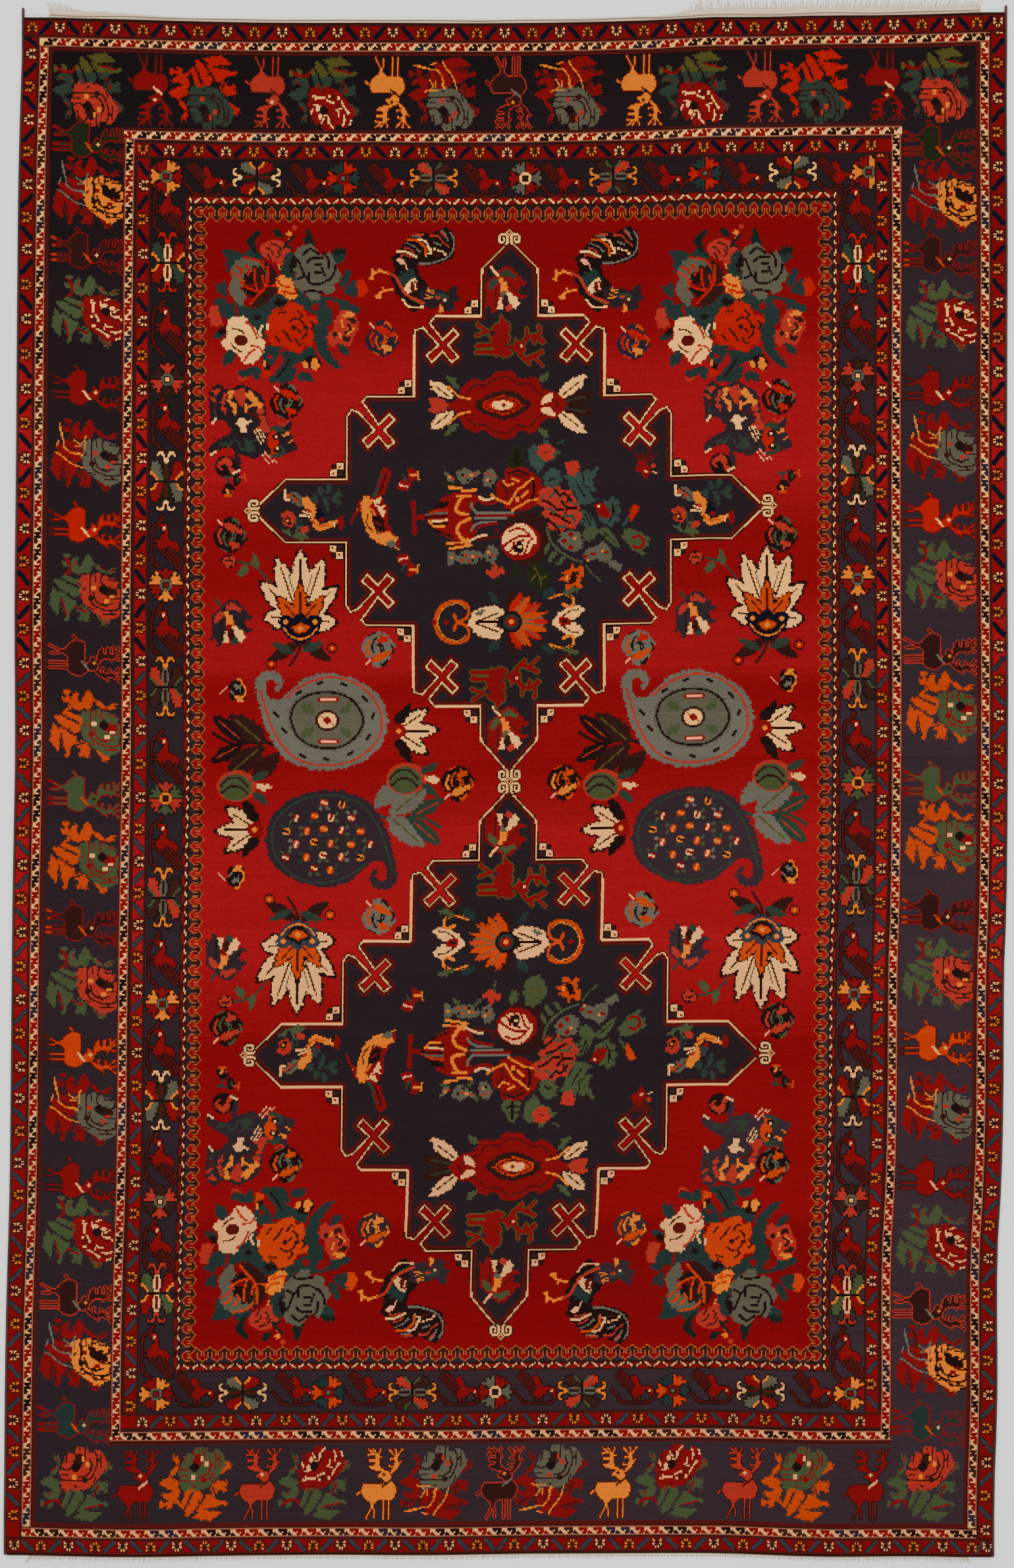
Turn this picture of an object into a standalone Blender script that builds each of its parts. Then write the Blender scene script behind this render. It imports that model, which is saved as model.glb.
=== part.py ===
"""Hand-knotted oriental rug, lying flat.

The rug is one knotted carpet with a wavy outline, an overcast cord along each
long side, and at each end a thin plain-weave strip that carries the fringe.
Metres, +Z up. The origin is the middle of the whole footprint, on the floor.
+Y points to the head end and +X to the right of the upright rug.
"""

import random

import bpy
from mathutils import Vector

# Driving dimensions, in metres.
MM = 0.001
PILE_THICKNESS = 9.0 * MM
SELVEDGE_DIAMETER = 6.4 * MM
SELVEDGE_SETBACK = 1.5 * MM
WARP_THICKNESS = 2.2 * MM
TOUCH_GAP = 0.3 * MM

# The long sides, measured over the selvedge, wander as woven.
# Columns: station along the rug (mm, + to the head), outer side (mm from the middle).
LEFT_SIDE = (
    (-1566, -1019), (-1405, -1017), (-1112, -1014), (-818, -1006), (-525, -1003), (-232, -1000),
    (62, -995), (355, -996), (648, -993), (942, -991), (1235, -988), (1382, -984), (1528, -979),
    (1570, -977),
)
RIGHT_SIDE = (
    (-1566, 990), (-1405, 992), (-1258, 997), (-965, 997), (-818, 1005), (-672, 1009), (-378, 1011),
    (-232, 1016), (208, 1019), (502, 1017), (795, 1017), (1089, 1018), (1382, 1016), (1528, 1017),
    (1578, 1014),
)

# The head end: the pile, the plain weave beyond it, and the fringe, short along the middle.
# Columns: station across the rug (mm, + to the right), end of the pile (mm),
# end of the plain weave (mm), reach of the fringe past the plain weave (mm).
HEAD_END = (
    (-990, 1551, 1572, 15.5), (-895, 1548, 1565, 16.5), (-860, 1547, 1562, 3.6),
    (-765, 1545, 1556, 3.0), (-665, 1542, 1549, 2.6), (-465, 1538, 1546, 2.8),
    (-265, 1538, 1545, 3.0), (-65, 1537, 1545, 2.6), (135, 1539, 1547, 2.8),
    (345, 1545, 1554, 3.4), (385, 1549, 1566, 20.5), (535, 1550, 1569, 18.0),
    (635, 1553, 1570, 17.0), (735, 1553, 1571, 16.0), (835, 1555, 1571, 15.5),
    (935, 1558, 1573, 14.0), (1015, 1563, 1576, 11.5),
)

# The foot end, with the same columns.
FOOT_END = (
    (-1020, -1565, -1569, 15.5), (-965, -1565, -1569, 15.0), (-935, -1566, -1569, 9.5),
    (-765, -1569, -1572, 8.5), (-565, -1566, -1569, 9.5), (-365, -1564, -1567, 9.0),
    (-165, -1565, -1568, 10.0), (35, -1562, -1565, 10.0), (235, -1561, -1564, 9.5),
    (435, -1561, -1564, 9.0), (635, -1568, -1571, 8.5), (835, -1567, -1570, 9.5),
    (925, -1569, -1572, 12.0), (990, -1570, -1573, 14.5),
)
PILE_END, WEAVE_END, FRINGE_REACH = 1, 2, 3

SIDE_STATIONS = 40
END_STATIONS = 44

# The fringe's locks: their number at an end, how much of the pitch a lock takes
# at its root and at its tip, and how it leans outwards and varies.
STRANDS_PER_END = 148
ROOT_SHARE = 0.76
TIP_SHARE = 0.46
CORNER_LEAN = 0.5
LEAN_VARIATION = 0.9 * MM
LENGTH_VARIATION = 0.12
VARIATION_SEED = 11


def table_value(table, station, column=1):
    """A table's column at a station, both in metres, on a smooth curve through its rows."""
    at = min(max(station / MM, table[0][0]), table[-1][0])
    last = len(table) - 1
    low = max(i for i in range(last) if table[i][0] <= at)
    rows = [table[min(max(low + step, 0), last)] for step in (-1, 0, 1, 2)]
    (s0, v0), (s1, v1), (s2, v2), (s3, v3) = [(row[0], row[column]) for row in rows]
    span = s2 - s1
    share = (at - s1) / span
    slope_in = (v2 - v0) / (s2 - s0) * span
    slope_out = (v3 - v1) / (s3 - s1) * span
    bend_in = share * (1 - share) ** 2 * slope_in
    bend_out = share ** 2 * (1 - share) * slope_out
    ease = share * share * (3 - 2 * share)
    return (v1 + (v2 - v1) * ease + bend_in - bend_out) * MM


def spaced(start, end, count):
    """Evenly spaced values from start to end."""
    return [start + (end - start) * i / (count - 1) for i in range(count)]


def pile_side(side, y):
    """The pile's long side, inside its selvedge: side is -1 for the left, 1 for the right."""
    table = LEFT_SIDE if side < 0 else RIGHT_SIDE
    return table_value(table, y) - side * (SELVEDGE_DIAMETER + TOUCH_GAP)


def corner(side, end_table, column):
    """Where a side meets an end of the pile or of the plain weave."""
    y = end_table[0][column] * MM
    for _ in range(4):
        x = pile_side(side, y)
        y = table_value(end_table, x, column)
    return x, y


def end_line(end_table, column, count):
    """Points along an end of the rug from its left corner to its right one."""
    left = corner(-1, end_table, column)
    right = corner(1, end_table, column)
    stations = spaced(left[0], right[0], count)
    return [(x, table_value(end_table, x, column)) for x in stations]


def material(name, color, roughness):
    """A cloth material for one piece."""
    new = bpy.data.materials.new(name)
    new.use_nodes = True
    shader = new.node_tree.nodes["Principled BSDF"]
    shader.inputs["Base Color"].default_value = (*color, 1.0)
    shader.inputs["Roughness"].default_value = roughness
    shader.inputs["Metallic"].default_value = 0.0
    new.diffuse_color = (*color, 1.0)
    return new


def curve_object(name, points, cyclic, finish):
    """A curve through the points, linked to the rug's collection."""
    curve = bpy.data.curves.new(name, "CURVE")
    spline = curve.splines.new("POLY")
    spline.points.add(len(points) - 1)
    for spot, point in zip(spline.points, points):
        spot.co = (*point, 1.0)
    spline.use_cyclic_u = cyclic
    curve.materials.append(finish)
    new = bpy.data.objects.new(name, curve)
    rug.objects.link(new)
    return new


def flat_piece(name, outline, thickness, finish):
    """A flat piece of cloth that lies on the floor: its outline, extruded."""
    piece = curve_object(name, [(x, y, 0.0) for x, y in outline], True, finish)
    piece.data.dimensions = "2D"
    piece.data.fill_mode = "BOTH"
    piece.data.extrude = thickness / 2
    piece.location.z = thickness / 2
    return piece


def side_line(side):
    """Points along a long side of the pile from its foot corner to its head one."""
    foot = corner(side, FOOT_END, PILE_END)
    head = corner(side, HEAD_END, PILE_END)
    return [(pile_side(side, y), y) for y in spaced(foot[1], head[1], SIDE_STATIONS)]


def rug_body(finish):
    """The knotted carpet, as one flat slab with the rug's own uneven outline."""
    foot = end_line(FOOT_END, PILE_END, END_STATIONS)
    head = end_line(HEAD_END, PILE_END, END_STATIONS)
    right = side_line(1)
    left = side_line(-1)
    outline = foot + right[1:-1] + head[::-1] + left[-2:0:-1]
    return flat_piece("rug_body", outline, PILE_THICKNESS, finish)


def selvedge(name, side, finish):
    """The overcast cord beside the pile, which runs on beside the head's plain weave."""
    radius = SELVEDGE_DIAMETER / 2
    offset = side * (radius + TOUCH_GAP)
    head_end = corner(side, HEAD_END, WEAVE_END)[1] - SELVEDGE_SETBACK
    line = side_line(side) + [(pile_side(side, head_end), head_end)]
    cord = curve_object(name, [(x + offset, y, radius) for x, y in line], False, finish)
    cord.data.dimensions = "3D"
    cord.data.bevel_depth = radius
    cord.data.bevel_resolution = 2
    cord.data.use_fill_caps = True
    return cord


def fringe(name, end_table, outward, finish):
    """An end's plain-weave strip with its comb of locks: outward is 1 at the head, -1 at the foot."""
    seam = [(x, y + outward * TOUCH_GAP) for x, y in end_line(end_table, PILE_END, END_STATIONS)]
    left = corner(-1, end_table, WEAVE_END)
    right = corner(1, end_table, WEAVE_END)
    middle = (right[0] + left[0]) / 2
    half_width = right[0] - middle
    pitch = 2 * half_width / STRANDS_PER_END
    root_half = pitch * ROOT_SHARE / 2
    tip_half = pitch * TIP_SHARE / 2
    draw = random.Random(VARIATION_SEED)
    locks = []
    for index in range(STRANDS_PER_END):
        x = left[0] + pitch * (index + 0.5)
        root = table_value(end_table, x, WEAVE_END)
        reach = table_value(end_table, x, FRINGE_REACH)
        length = reach * (1 - LENGTH_VARIATION * draw.random())
        lean = CORNER_LEAN * length * ((x - middle) / half_width) ** 3
        tip_x = x + lean + draw.uniform(-LEAN_VARIATION, LEAN_VARIATION)
        tip_y = root + outward * length
        locks += [(x - root_half, root), (tip_x - tip_half, tip_y)]
        locks += [(tip_x + tip_half, tip_y), (x + root_half, root)]
    outline = seam + [right] + locks[::-1] + [left]
    return flat_piece(name, outline, WARP_THICKNESS, finish)


def centre_on_floor(pieces):
    """Move all the pieces together so that the footprint's middle is the origin."""
    bpy.context.view_layer.update()
    corners = [piece.matrix_world @ Vector(spot) for piece in pieces for spot in piece.bound_box]
    for axis in (0, 1):
        values = [spot[axis] for spot in corners]
        shift = (min(values) + max(values)) / 2
        for piece in pieces:
            piece.location[axis] -= shift


for old in list(bpy.data.objects):
    bpy.data.objects.remove(old, do_unlink=True)

rug = bpy.data.collections.new("oriental_rug")
bpy.context.scene.collection.children.link(rug)

pile_wool = material("red_wool_pile", (0.34, 0.012, 0.014), 0.9)
selvedge_wool = material("dark_wool_overcast", (0.018, 0.010, 0.009), 0.9)
warp_cotton = material("undyed_cotton_warp", (0.78, 0.66, 0.48), 0.85)

centre_on_floor([
    rug_body(pile_wool),
    selvedge("selvedge_left", -1, selvedge_wool),
    selvedge("selvedge_right", 1, selvedge_wool),
    fringe("fringe_head", HEAD_END, 1, warp_cotton),
    fringe("fringe_foot", FOOT_END, -1, warp_cotton),
])
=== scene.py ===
"""A hand-knotted oriental rug, laid flat: its looks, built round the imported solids."""

import math

import bpy
import numpy as np
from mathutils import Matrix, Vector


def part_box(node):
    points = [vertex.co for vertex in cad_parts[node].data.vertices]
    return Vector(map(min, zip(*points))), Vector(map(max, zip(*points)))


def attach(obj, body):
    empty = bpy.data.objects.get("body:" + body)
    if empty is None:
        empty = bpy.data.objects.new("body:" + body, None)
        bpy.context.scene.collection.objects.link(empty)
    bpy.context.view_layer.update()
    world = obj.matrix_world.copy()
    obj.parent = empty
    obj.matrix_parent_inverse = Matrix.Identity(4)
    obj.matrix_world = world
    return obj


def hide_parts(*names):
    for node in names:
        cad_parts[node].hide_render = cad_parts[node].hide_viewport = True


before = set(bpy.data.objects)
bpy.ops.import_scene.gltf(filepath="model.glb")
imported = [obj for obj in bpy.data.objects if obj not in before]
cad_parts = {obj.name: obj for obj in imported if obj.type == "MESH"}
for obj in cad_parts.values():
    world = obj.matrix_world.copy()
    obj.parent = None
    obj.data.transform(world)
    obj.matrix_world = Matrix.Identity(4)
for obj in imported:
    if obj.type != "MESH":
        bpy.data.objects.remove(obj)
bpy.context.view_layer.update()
bpy.ops.object.select_all(action="DESELECT")


# The outer guard stripe of the pile: symmetric knots of wool, tied in rows on cotton
# warps from a chart, here a meander of navy bars with a small white or gold rosette in
# each bay. Every part of the pile is charted in knots and meshed a row of knots at a time.
COLUMNS = 750                   # knots across the rug, selvedges included
ROWS = 1166                     # rows of knots from the head end to the foot end
SELVEDGE_KNOTS = 3              # columns taken by the cord along each side
SELVEDGE_WIDTH = 0.0067
SELVEDGE_OVERLAP = 0.5          # how far the pile reaches in under each cord, in knots
SIDES_FROM, ENDS_FROM = 0.9, 1.5     # the solid's outline: its sides and its ends lie past these
SIDES_WITHIN, ENDS_WITHIN = 1.545, 0.97  # and its rounded corners lie past these
PILE_TOP = 0.0088
PILE_SWELL = 0.0003             # height of the rug's slow waves
PILE_FOOT = 0.0012              # where the pile's outer walls end over the floor
TUFT_WANDER = 0.0001            # unevenness of the tufts' height
KNOT_WANDER = 0.2               # how far a knot strays, as a share of its pitch
LONGEST_RUN = 25                # knots of one colour in one face, and of a tile's side
TILES_ACROSS = 40               # more than the chart has, to number the tiles
TILE_MARGIN = 0.03              # bare rim of a tile in the baking layout
RIGHT_GREYS_BY = 150            # row by which the border's right side has gone greyer
FRAY_PERIOD = 64                # knots after which the unevenness of tied edges comes again
FRAY_REACH = 0.45               # each of the four parts of an edge's stray, in knots

fray = np.random.default_rng(5).uniform(-FRAY_REACH, FRAY_REACH, (2, FRAY_PERIOD, FRAY_PERIOD))
fray = sum(np.roll(fray, shift, (1, 2)) for shift in ((0, 0), (0, 1), (1, 0), (1, 1)))

DYES = {                        # by the letter that stands for each in a chart
    "R": (116, 14, 20), "r": (112, 16, 20), "m": (75, 18, 17), "B": (45, 21, 18),
    "k": (29, 16, 15), "b": (15, 15, 29), "w": (252, 177, 88), "y": (214, 104, 0),
    "n": (24, 17, 18), "v": (35, 26, 30),
}


def ink(letter):
    """A dye's number in the chart, where 0 is a knot not yet drawn."""
    return list(DYES).index(letter) + 1


def blank(width, height):
    return np.zeros((height, width), np.uint8)


def window(art, points, reach, frayed=False):
    """The part of the art round some points, with the middles of its knots, which stray a
    little where a shape has the uneven edge of one tied by eye."""
    xs, ys = zip(*points)
    left, top = max(int(min(xs) - reach), 0), max(int(min(ys) - reach), 0)
    right, bottom = int(max(xs) + reach) + 2, int(max(ys) + reach) + 2
    part = art[top:bottom, left:right]
    rows, columns = np.mgrid[top:top + part.shape[0], left:left + part.shape[1]]
    if not frayed:
        return part, columns + 0.5, rows + 0.5
    stray = fray[:, rows % FRAY_PERIOD, columns % FRAY_PERIOD]
    return part, columns + 0.5 + stray[0], rows + 0.5 + stray[1]


def fill(art, points, colour, frayed=False):
    part, columns, rows = window(art, points, 1, frayed)
    inside = np.zeros(part.shape, bool)
    for (x0, y0), (x1, y1) in zip(points, points[1:] + points[:1]):
        if y0 != y1:
            side = columns < (x1 - x0) * (rows - y0) / (y1 - y0) + x0
            inside ^= ((y0 > rows) != (y1 > rows)) & side
    part[inside] = colour


def stroke(art, points, width, colour):
    for (x0, y0), (x1, y1) in zip(points, points[1:]):
        part, columns, rows = window(art, [(x0, y0), (x1, y1)], width)
        long = max((x1 - x0) ** 2 + (y1 - y0) ** 2, 1e-6)
        t = np.clip(((columns - x0) * (x1 - x0) + (rows - y0) * (y1 - y0)) / long, 0, 1)
        away = np.hypot(columns - x0 - t * (x1 - x0), rows - y0 - t * (y1 - y0))
        part[away <= width / 2] = colour


def oval(art, x, y, half_width, half_height, colour):
    part, columns, rows = window(art, [(x, y)], max(half_width, half_height) + 1)
    part[((columns - x) / half_width) ** 2 + ((rows - y) / half_height) ** 2 <= 1] = colour


def charted(letters, dyes=""):
    """A small motif set down knot by knot: one letter for each knot, dots left bare."""
    rows = letters.split()
    art = blank(len(rows[0]), len(rows))
    for y, row in enumerate(rows):
        for x, mark in enumerate(row):
            art[y, x] = 0 if mark == "." else ink(dyes[int(mark) - 1] if mark.isdigit() else mark)
    return art


def stamp(target, art, x, y, turns=0, flip=""):
    """Sets a motif's middle at a place, after quarter turns clockwise and flips."""
    art = np.rot90(art, -turns)
    if "h" in flip:
        art = art[:, ::-1]
    if "v" in flip:
        art = art[::-1]
    left, top = int(round(x - art.shape[1] / 2)), int(round(y - art.shape[0] / 2))
    cut_left, cut_top = max(-left, 0), max(-top, 0)
    art = art[cut_top:, cut_left:]
    part = target[top + cut_top:, left + cut_left:][:art.shape[0], :art.shape[1]]
    art = art[:part.shape[0], :part.shape[1]]
    part[art > 0] = art[art > 0]


def lay(strip, side, along, depth):
    """Sets a stripe, drawn with the rug's edge at its top, on one side of the chart."""
    height, width = strip.shape
    if side in ("head", "foot"):
        top = depth if side == "head" else ROWS - depth - height
        part = chart[top:top + height, along:along + width]
        art = strip if side == "head" else strip[::-1]
    else:
        left = depth if side == "left" else COLUMNS - depth - height
        part = chart[along:along + width, left:left + height]
        art = strip.T if side == "left" else strip.T[:, ::-1]
    part[art > 0] = art[art > 0]


def ring(outer, inner):
    """The knots between two depths: each is the depth at the head, the foot and the sides."""
    region = np.zeros((ROWS, COLUMNS), bool)
    region[outer[0]:ROWS - outer[1], outer[2]:COLUMNS - outer[2]] = True
    region[inner[0]:ROWS - inner[1], inner[2]:COLUMNS - inner[2]] = False
    return region


def outline(picked, along):
    """A side of the knotted body's outline, in order, from its solid."""
    points = np.array([v.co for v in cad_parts["rug_body"].data.vertices], float)
    points = points[picked(points)]
    return points[np.argsort(points[:, along])]


left_line = outline(lambda p: (p[:, 0] < -SIDES_FROM) & (np.abs(p[:, 1]) < SIDES_WITHIN), 1)
right_line = outline(lambda p: (p[:, 0] > SIDES_FROM) & (np.abs(p[:, 1]) < SIDES_WITHIN), 1)
head_line = outline(lambda p: (p[:, 1] > ENDS_FROM) & (np.abs(p[:, 0]) < ENDS_WITHIN), 0)
foot_line = outline(lambda p: (p[:, 1] < -ENDS_FROM) & (np.abs(p[:, 0]) < ENDS_WITHIN), 0)


def placed(columns, rows):
    """Places in the chart as metres on the rug, whose sides and ends wander."""
    y = head_line[0, 1] + (foot_line[0, 1] - head_line[0, 1]) * rows / ROWS
    for _ in range(4):
        left = np.interp(y, left_line[:, 1], left_line[:, 0]) - SELVEDGE_WIDTH
        right = np.interp(y, right_line[:, 1], right_line[:, 0]) + SELVEDGE_WIDTH
        x = left + (right - left) * columns / COLUMNS
        head = np.interp(x, head_line[:, 0], head_line[:, 1])
        foot = np.interp(x, foot_line[:, 0], foot_line[:, 1])
        y = head + (foot - head) * rows / ROWS
    return x, y


def linear(shade):
    """A colour of a picture, 0 to 255, as linear light."""
    shade = np.asarray(shade, float) / 255
    return np.where(shade < 0.04045, shade / 12.92, ((shade + 0.055) / 1.055) ** 2.4)


def row_shades():
    """How far each row's wool is off the dye's middle shade, bath by bath. A bath of yarn
    lasts for 9 to 60 rows."""
    chance, baths = np.random.default_rng(7), 60
    last_rows = np.cumsum(chance.integers(9, 60, baths))
    steps = chance.normal(0, 0.035, baths + 1)[np.searchsorted(last_rows, np.arange(ROWS))]
    return 1 + steps + chance.normal(0, 0.012, ROWS)


chart = blank(COLUMNS, ROWS)
wander = np.random.default_rng(3).uniform(-1, 1, (ROWS + 1, COLUMNS + 1, 3))
abrash = row_shades()


def dyed(letters, rows, columns):
    """The linear colour of each run of knots, from its dye and where it lies. The border's
    dark blue goes grey from left to right as well, except at the very head."""
    table = linear([DYES[letter] for letter in DYES])
    colour = table[letters - 1] * abrash[rows][:, None]
    for letter, (first, last, later) in FADING.items():
        share = np.clip((rows - first) / (last - first), 0, 1)[:, None]
        if letter == "n":
            across = columns / COLUMNS * np.clip(rows / RIGHT_GREYS_BY, 0, 1)
            share = (share + across[:, None]) / 2
        changed = linear(later) * abrash[rows][:, None]
        colour = np.where((letters == ink(letter))[:, None],
                          colour + (changed - colour) * share, colour)
    strength = np.interp(rows, *zip(*RED_BATHS))[:, None]
    return np.where((letters == ink("R"))[:, None], colour * strength, colour)


def corner_points(rows, columns, region):
    """The corners of knots in space: each strays a little, but not on the piece's outline."""
    corners = np.pad(region, 1).astype(int)
    full = (corners[1:, 1:] + corners[:-1, 1:] + corners[1:, :-1] + corners[:-1, :-1]) == 4
    stray = wander[rows, columns] * full[rows, columns][:, None]
    reach = SELVEDGE_KNOTS - SELVEDGE_OVERLAP
    at_columns = columns + KNOT_WANDER * stray[:, 0]
    at_columns = np.where(columns <= SELVEDGE_KNOTS, reach, at_columns)
    at_columns = np.where(columns >= COLUMNS - SELVEDGE_KNOTS, COLUMNS - reach, at_columns)
    x, y = placed(at_columns, rows + KNOT_WANDER * stray[:, 1])
    swell = np.sin(x * 9 + 1) * np.sin(y * 7.3) + 0.6 * np.sin(x * 23 + y * 17)
    z = PILE_TOP + PILE_SWELL * swell * 0.5 + TUFT_WANDER * wander[rows, columns, 2]
    return np.stack([x, y, z], 1)


def rug_edges(region, number, marks):
    """The stretches of a piece that lie on the rug's own edge: two corners, a row, a column."""
    edges = []
    inner, outer = SELVEDGE_KNOTS, COLUMNS - SELVEDGE_KNOTS
    for row in range(ROWS if region[ROWS // 2, inner] else 0):
        edges.append((number[row, inner], number[row + 1, inner], row, inner))
        edges.append((number[row + 1, outer], number[row, outer], row, outer - 1))
    for row, line in ((0, 0), (ROWS - 1, ROWS)):
        stops = np.nonzero(marks[line])[0] if region[row, COLUMNS // 2] else []
        for a, b in zip(stops[:-1], stops[1:]):
            pair = (number[line, b], number[line, a])
            edges.append((*(pair if line == 0 else pair[::-1]), row, a))
    return edges


def unwrapped(mesh, sizes, face_places, corner_places):
    """Gives a mesh of pile its two layouts: by knots, and for baking as small tiles."""
    knots = mesh.uv_layers.new(name="Knots")
    places = np.stack([corner_places[1], ROWS - corner_places[0]], 1).astype(np.float32)
    knots.data.foreach_set("uv", places.ravel())
    tile_rows, tile_columns = face_places[0] // LONGEST_RUN, face_places[1] // LONGEST_RUN
    keys = tile_rows * TILES_ACROSS + tile_columns
    tiles = np.unique(keys)
    per_side = math.ceil(math.sqrt(len(tiles)))
    slot = np.repeat(np.searchsorted(tiles, keys), sizes)
    home_rows = np.repeat(tile_rows, sizes) * LONGEST_RUN
    home_columns = np.repeat(tile_columns, sizes) * LONGEST_RUN
    part = 1 - 2 * TILE_MARGIN
    u = slot % per_side + TILE_MARGIN + part * (corner_places[1] - home_columns) / LONGEST_RUN
    v = slot // per_side + TILE_MARGIN + part * (corner_places[0] - home_rows) / LONGEST_RUN
    layout = mesh.uv_layers.new(name="OFBake")
    layout.data.foreach_set("uv", (np.stack([u, v], 1) / per_side).astype(np.float32).ravel())


def pile_piece(name, region):
    """One mesh of pile from the chart: each run of one colour in a row is one face, and
    the rug's own edge has a wall down to the foot of the pile."""
    region = region.copy()
    region[:, :SELVEDGE_KNOTS] = region[:, COLUMNS - SELVEDGE_KNOTS:] = False
    cells = np.pad(np.where(region, chart, 0), ((0, 0), (1, 1)))
    cuts = cells[:, 1:] != cells[:, :-1]
    touched = (cells[:, 1:] > 0) | (cells[:, :-1] > 0)
    cuts[:, ::LONGEST_RUN] |= touched[:, ::LONGEST_RUN]
    marks = np.zeros((ROWS + 1, COLUMNS + 1), bool)
    marks[:-1] |= cuts
    marks[1:] |= cuts
    number = np.cumsum(marks).reshape(marks.shape) - 1
    corners = np.array(np.nonzero(marks))
    points = corner_points(*corners, region)

    runs = np.array(np.nonzero(cuts & (cells[:, 1:] > 0)))
    rows, starts = runs
    ends = np.nonzero(cuts & (cells[:, :-1] > 0))[1]
    letters = cells[:, 1:][rows, starts].astype(int)
    spans = zip(number[rows + 1, starts], number[rows + 1, ends], number[rows, ends],
                number[rows, starts])
    faces = [[*range(near, far + 1), *range(back, home - 1, -1)]
             for near, far, back, home in spans]
    edges = rug_edges(region, number, marks)
    if edges:
        tops = sorted({corner for edge in edges for corner in edge[:2]})
        below = {top: len(points) + i for i, top in enumerate(tops)}
        points = np.concatenate([points, points[tops] * (1, 1, 0) + (0, 0, PILE_FOOT)])
        corners = np.concatenate([corners, corners[:, tops]], 1)
        faces += [[a, below[a], below[b], b] for a, b, _, _ in edges]
        walls = np.array([edge[2:] for edge in edges]).T
        runs = np.concatenate([runs, walls], 1)
        letters = np.concatenate([letters, chart[walls[0], walls[1]]])

    mesh = bpy.data.meshes.new(name)
    mesh.from_pydata(points.tolist(), [], faces)
    sizes = np.array([len(face) for face in faces])
    colour = dyed(letters, *runs)
    colour = np.concatenate([colour, np.ones((len(colour), 1))], 1)
    dye = mesh.attributes.new("dye", "FLOAT_COLOR", "CORNER")
    dye.data.foreach_set("color", np.repeat(colour, sizes, 0).astype(np.float32).ravel())
    unwrapped(mesh, sizes, runs, corners[:, np.concatenate(faces)])
    piece = bpy.data.objects.new(name, mesh)
    bpy.context.scene.collection.objects.link(piece)
    piece.data.materials.append(pile_wool())
    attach(piece, "root")


def node(tree, kind, inputs, **settings):
    """One shader node, with its settings, and its sockets set or linked."""
    made = tree.nodes.new("ShaderNode" + kind)
    for key, value in settings.items():
        setattr(made, key, value)
    for key, value in inputs.items():
        if isinstance(value, bpy.types.NodeSocket):
            tree.links.new(value, made.inputs[key])
        else:
            made.inputs[key].default_value = value
    return made


def sums(tree, operation, first, second=0.0, third=0.0):
    inputs = {0: first, 1: second, 2: third}
    return node(tree, "Math", inputs, operation=operation).outputs[0]


def new_material(name):
    material = bpy.data.materials.new(name)
    material.use_nodes = True
    return material, material.node_tree, material.node_tree.nodes["Principled BSDF"]


def finish_material(tree, shader, colour, height, strength, depth, **values):
    """Links a material's colour and its bumps, and sets the shader's other values."""
    bump = node(tree, "Bump", {"Height": height, "Strength": strength, "Distance": depth})
    tree.links.new(colour, shader.inputs["Base Color"])
    tree.links.new(bump.outputs[0], shader.inputs["Normal"])
    for name, value in values.items():
        shader.inputs[name.replace("_", " ")].default_value = value


def pile_wool():
    """Cut wool pile: each knot its own shade, the rows streaked, the tufts fuzzy, and painted shade
    in the grooves between the knots.
    """
    if "knotted wool pile" in bpy.data.materials:
        return bpy.data.materials["knotted wool pile"]
    material, tree, shader = new_material("knotted wool pile")
    dye = node(tree, "Attribute", {}, attribute_name="dye").outputs["Color"]
    place = node(tree, "UVMap", {}, uv_map="Knots").outputs["UV"]
    knot = node(tree, "VectorMath", {0: place}, operation="FLOOR").outputs[0]
    each = node(tree, "TexWhiteNoise", {"Vector": knot}, noise_dimensions="2D")
    stretched = node(tree, "VectorMath", {0: place, 1: (0.035, 0.55, 1)}, operation="MULTIPLY")
    streak = node(tree, "TexNoise", {"Vector": stretched.outputs[0], "Scale": 1.0, "Detail": 3.0})
    object_place = node(tree, "TexCoord", {}).outputs["Object"]
    fuzz = node(tree, "TexNoise", {"Vector": object_place, "Scale": 650.0, "Detail": 3.0})
    cloud = node(tree, "TexNoise", {"Vector": object_place, "Scale": 3.0, "Detail": 2.0})
    shade = sums(tree, "MULTIPLY_ADD", each.outputs["Value"], 0.16, 0.60)
    shade = sums(tree, "MULTIPLY_ADD", streak.outputs["Fac"], 0.26, shade)
    shade = sums(tree, "MULTIPLY_ADD", fuzz.outputs["Fac"], 0.24, shade)
    shade = sums(tree, "MULTIPLY_ADD", cloud.outputs["Fac"], 0.14, shade)
    parts = node(tree, "SeparateXYZ", {0: place}).outputs
    waves = [sums(tree, "ABSOLUTE", sums(tree, "SINE", sums(tree, "MULTIPLY", parts[i], math.pi)))
             for i in (0, 1)]
    tuft = sums(tree, "POWER", sums(tree, "MULTIPLY", waves[0], waves[1]), 0.4)
    # Painted shade: each knot's colour darkens towards its edges, as if shaded in the grooves between
    # the tufts; the same tuft shape makes the bump.
    shade = sums(tree, "MULTIPLY", shade, sums(tree, "MULTIPLY_ADD", tuft, 0.12, 0.90))
    wool = node(tree, "VectorMath", {0: dye, "Scale": shade}, operation="SCALE").outputs[0]
    height = sums(tree, "MULTIPLY_ADD", fuzz.outputs["Fac"], 0.8, tuft)
    finish_material(tree, shader, wool, height, 0.5, 0.0006, Roughness=0.95,
                    Specular_IOR_Level=0.03)
    return material


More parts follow.
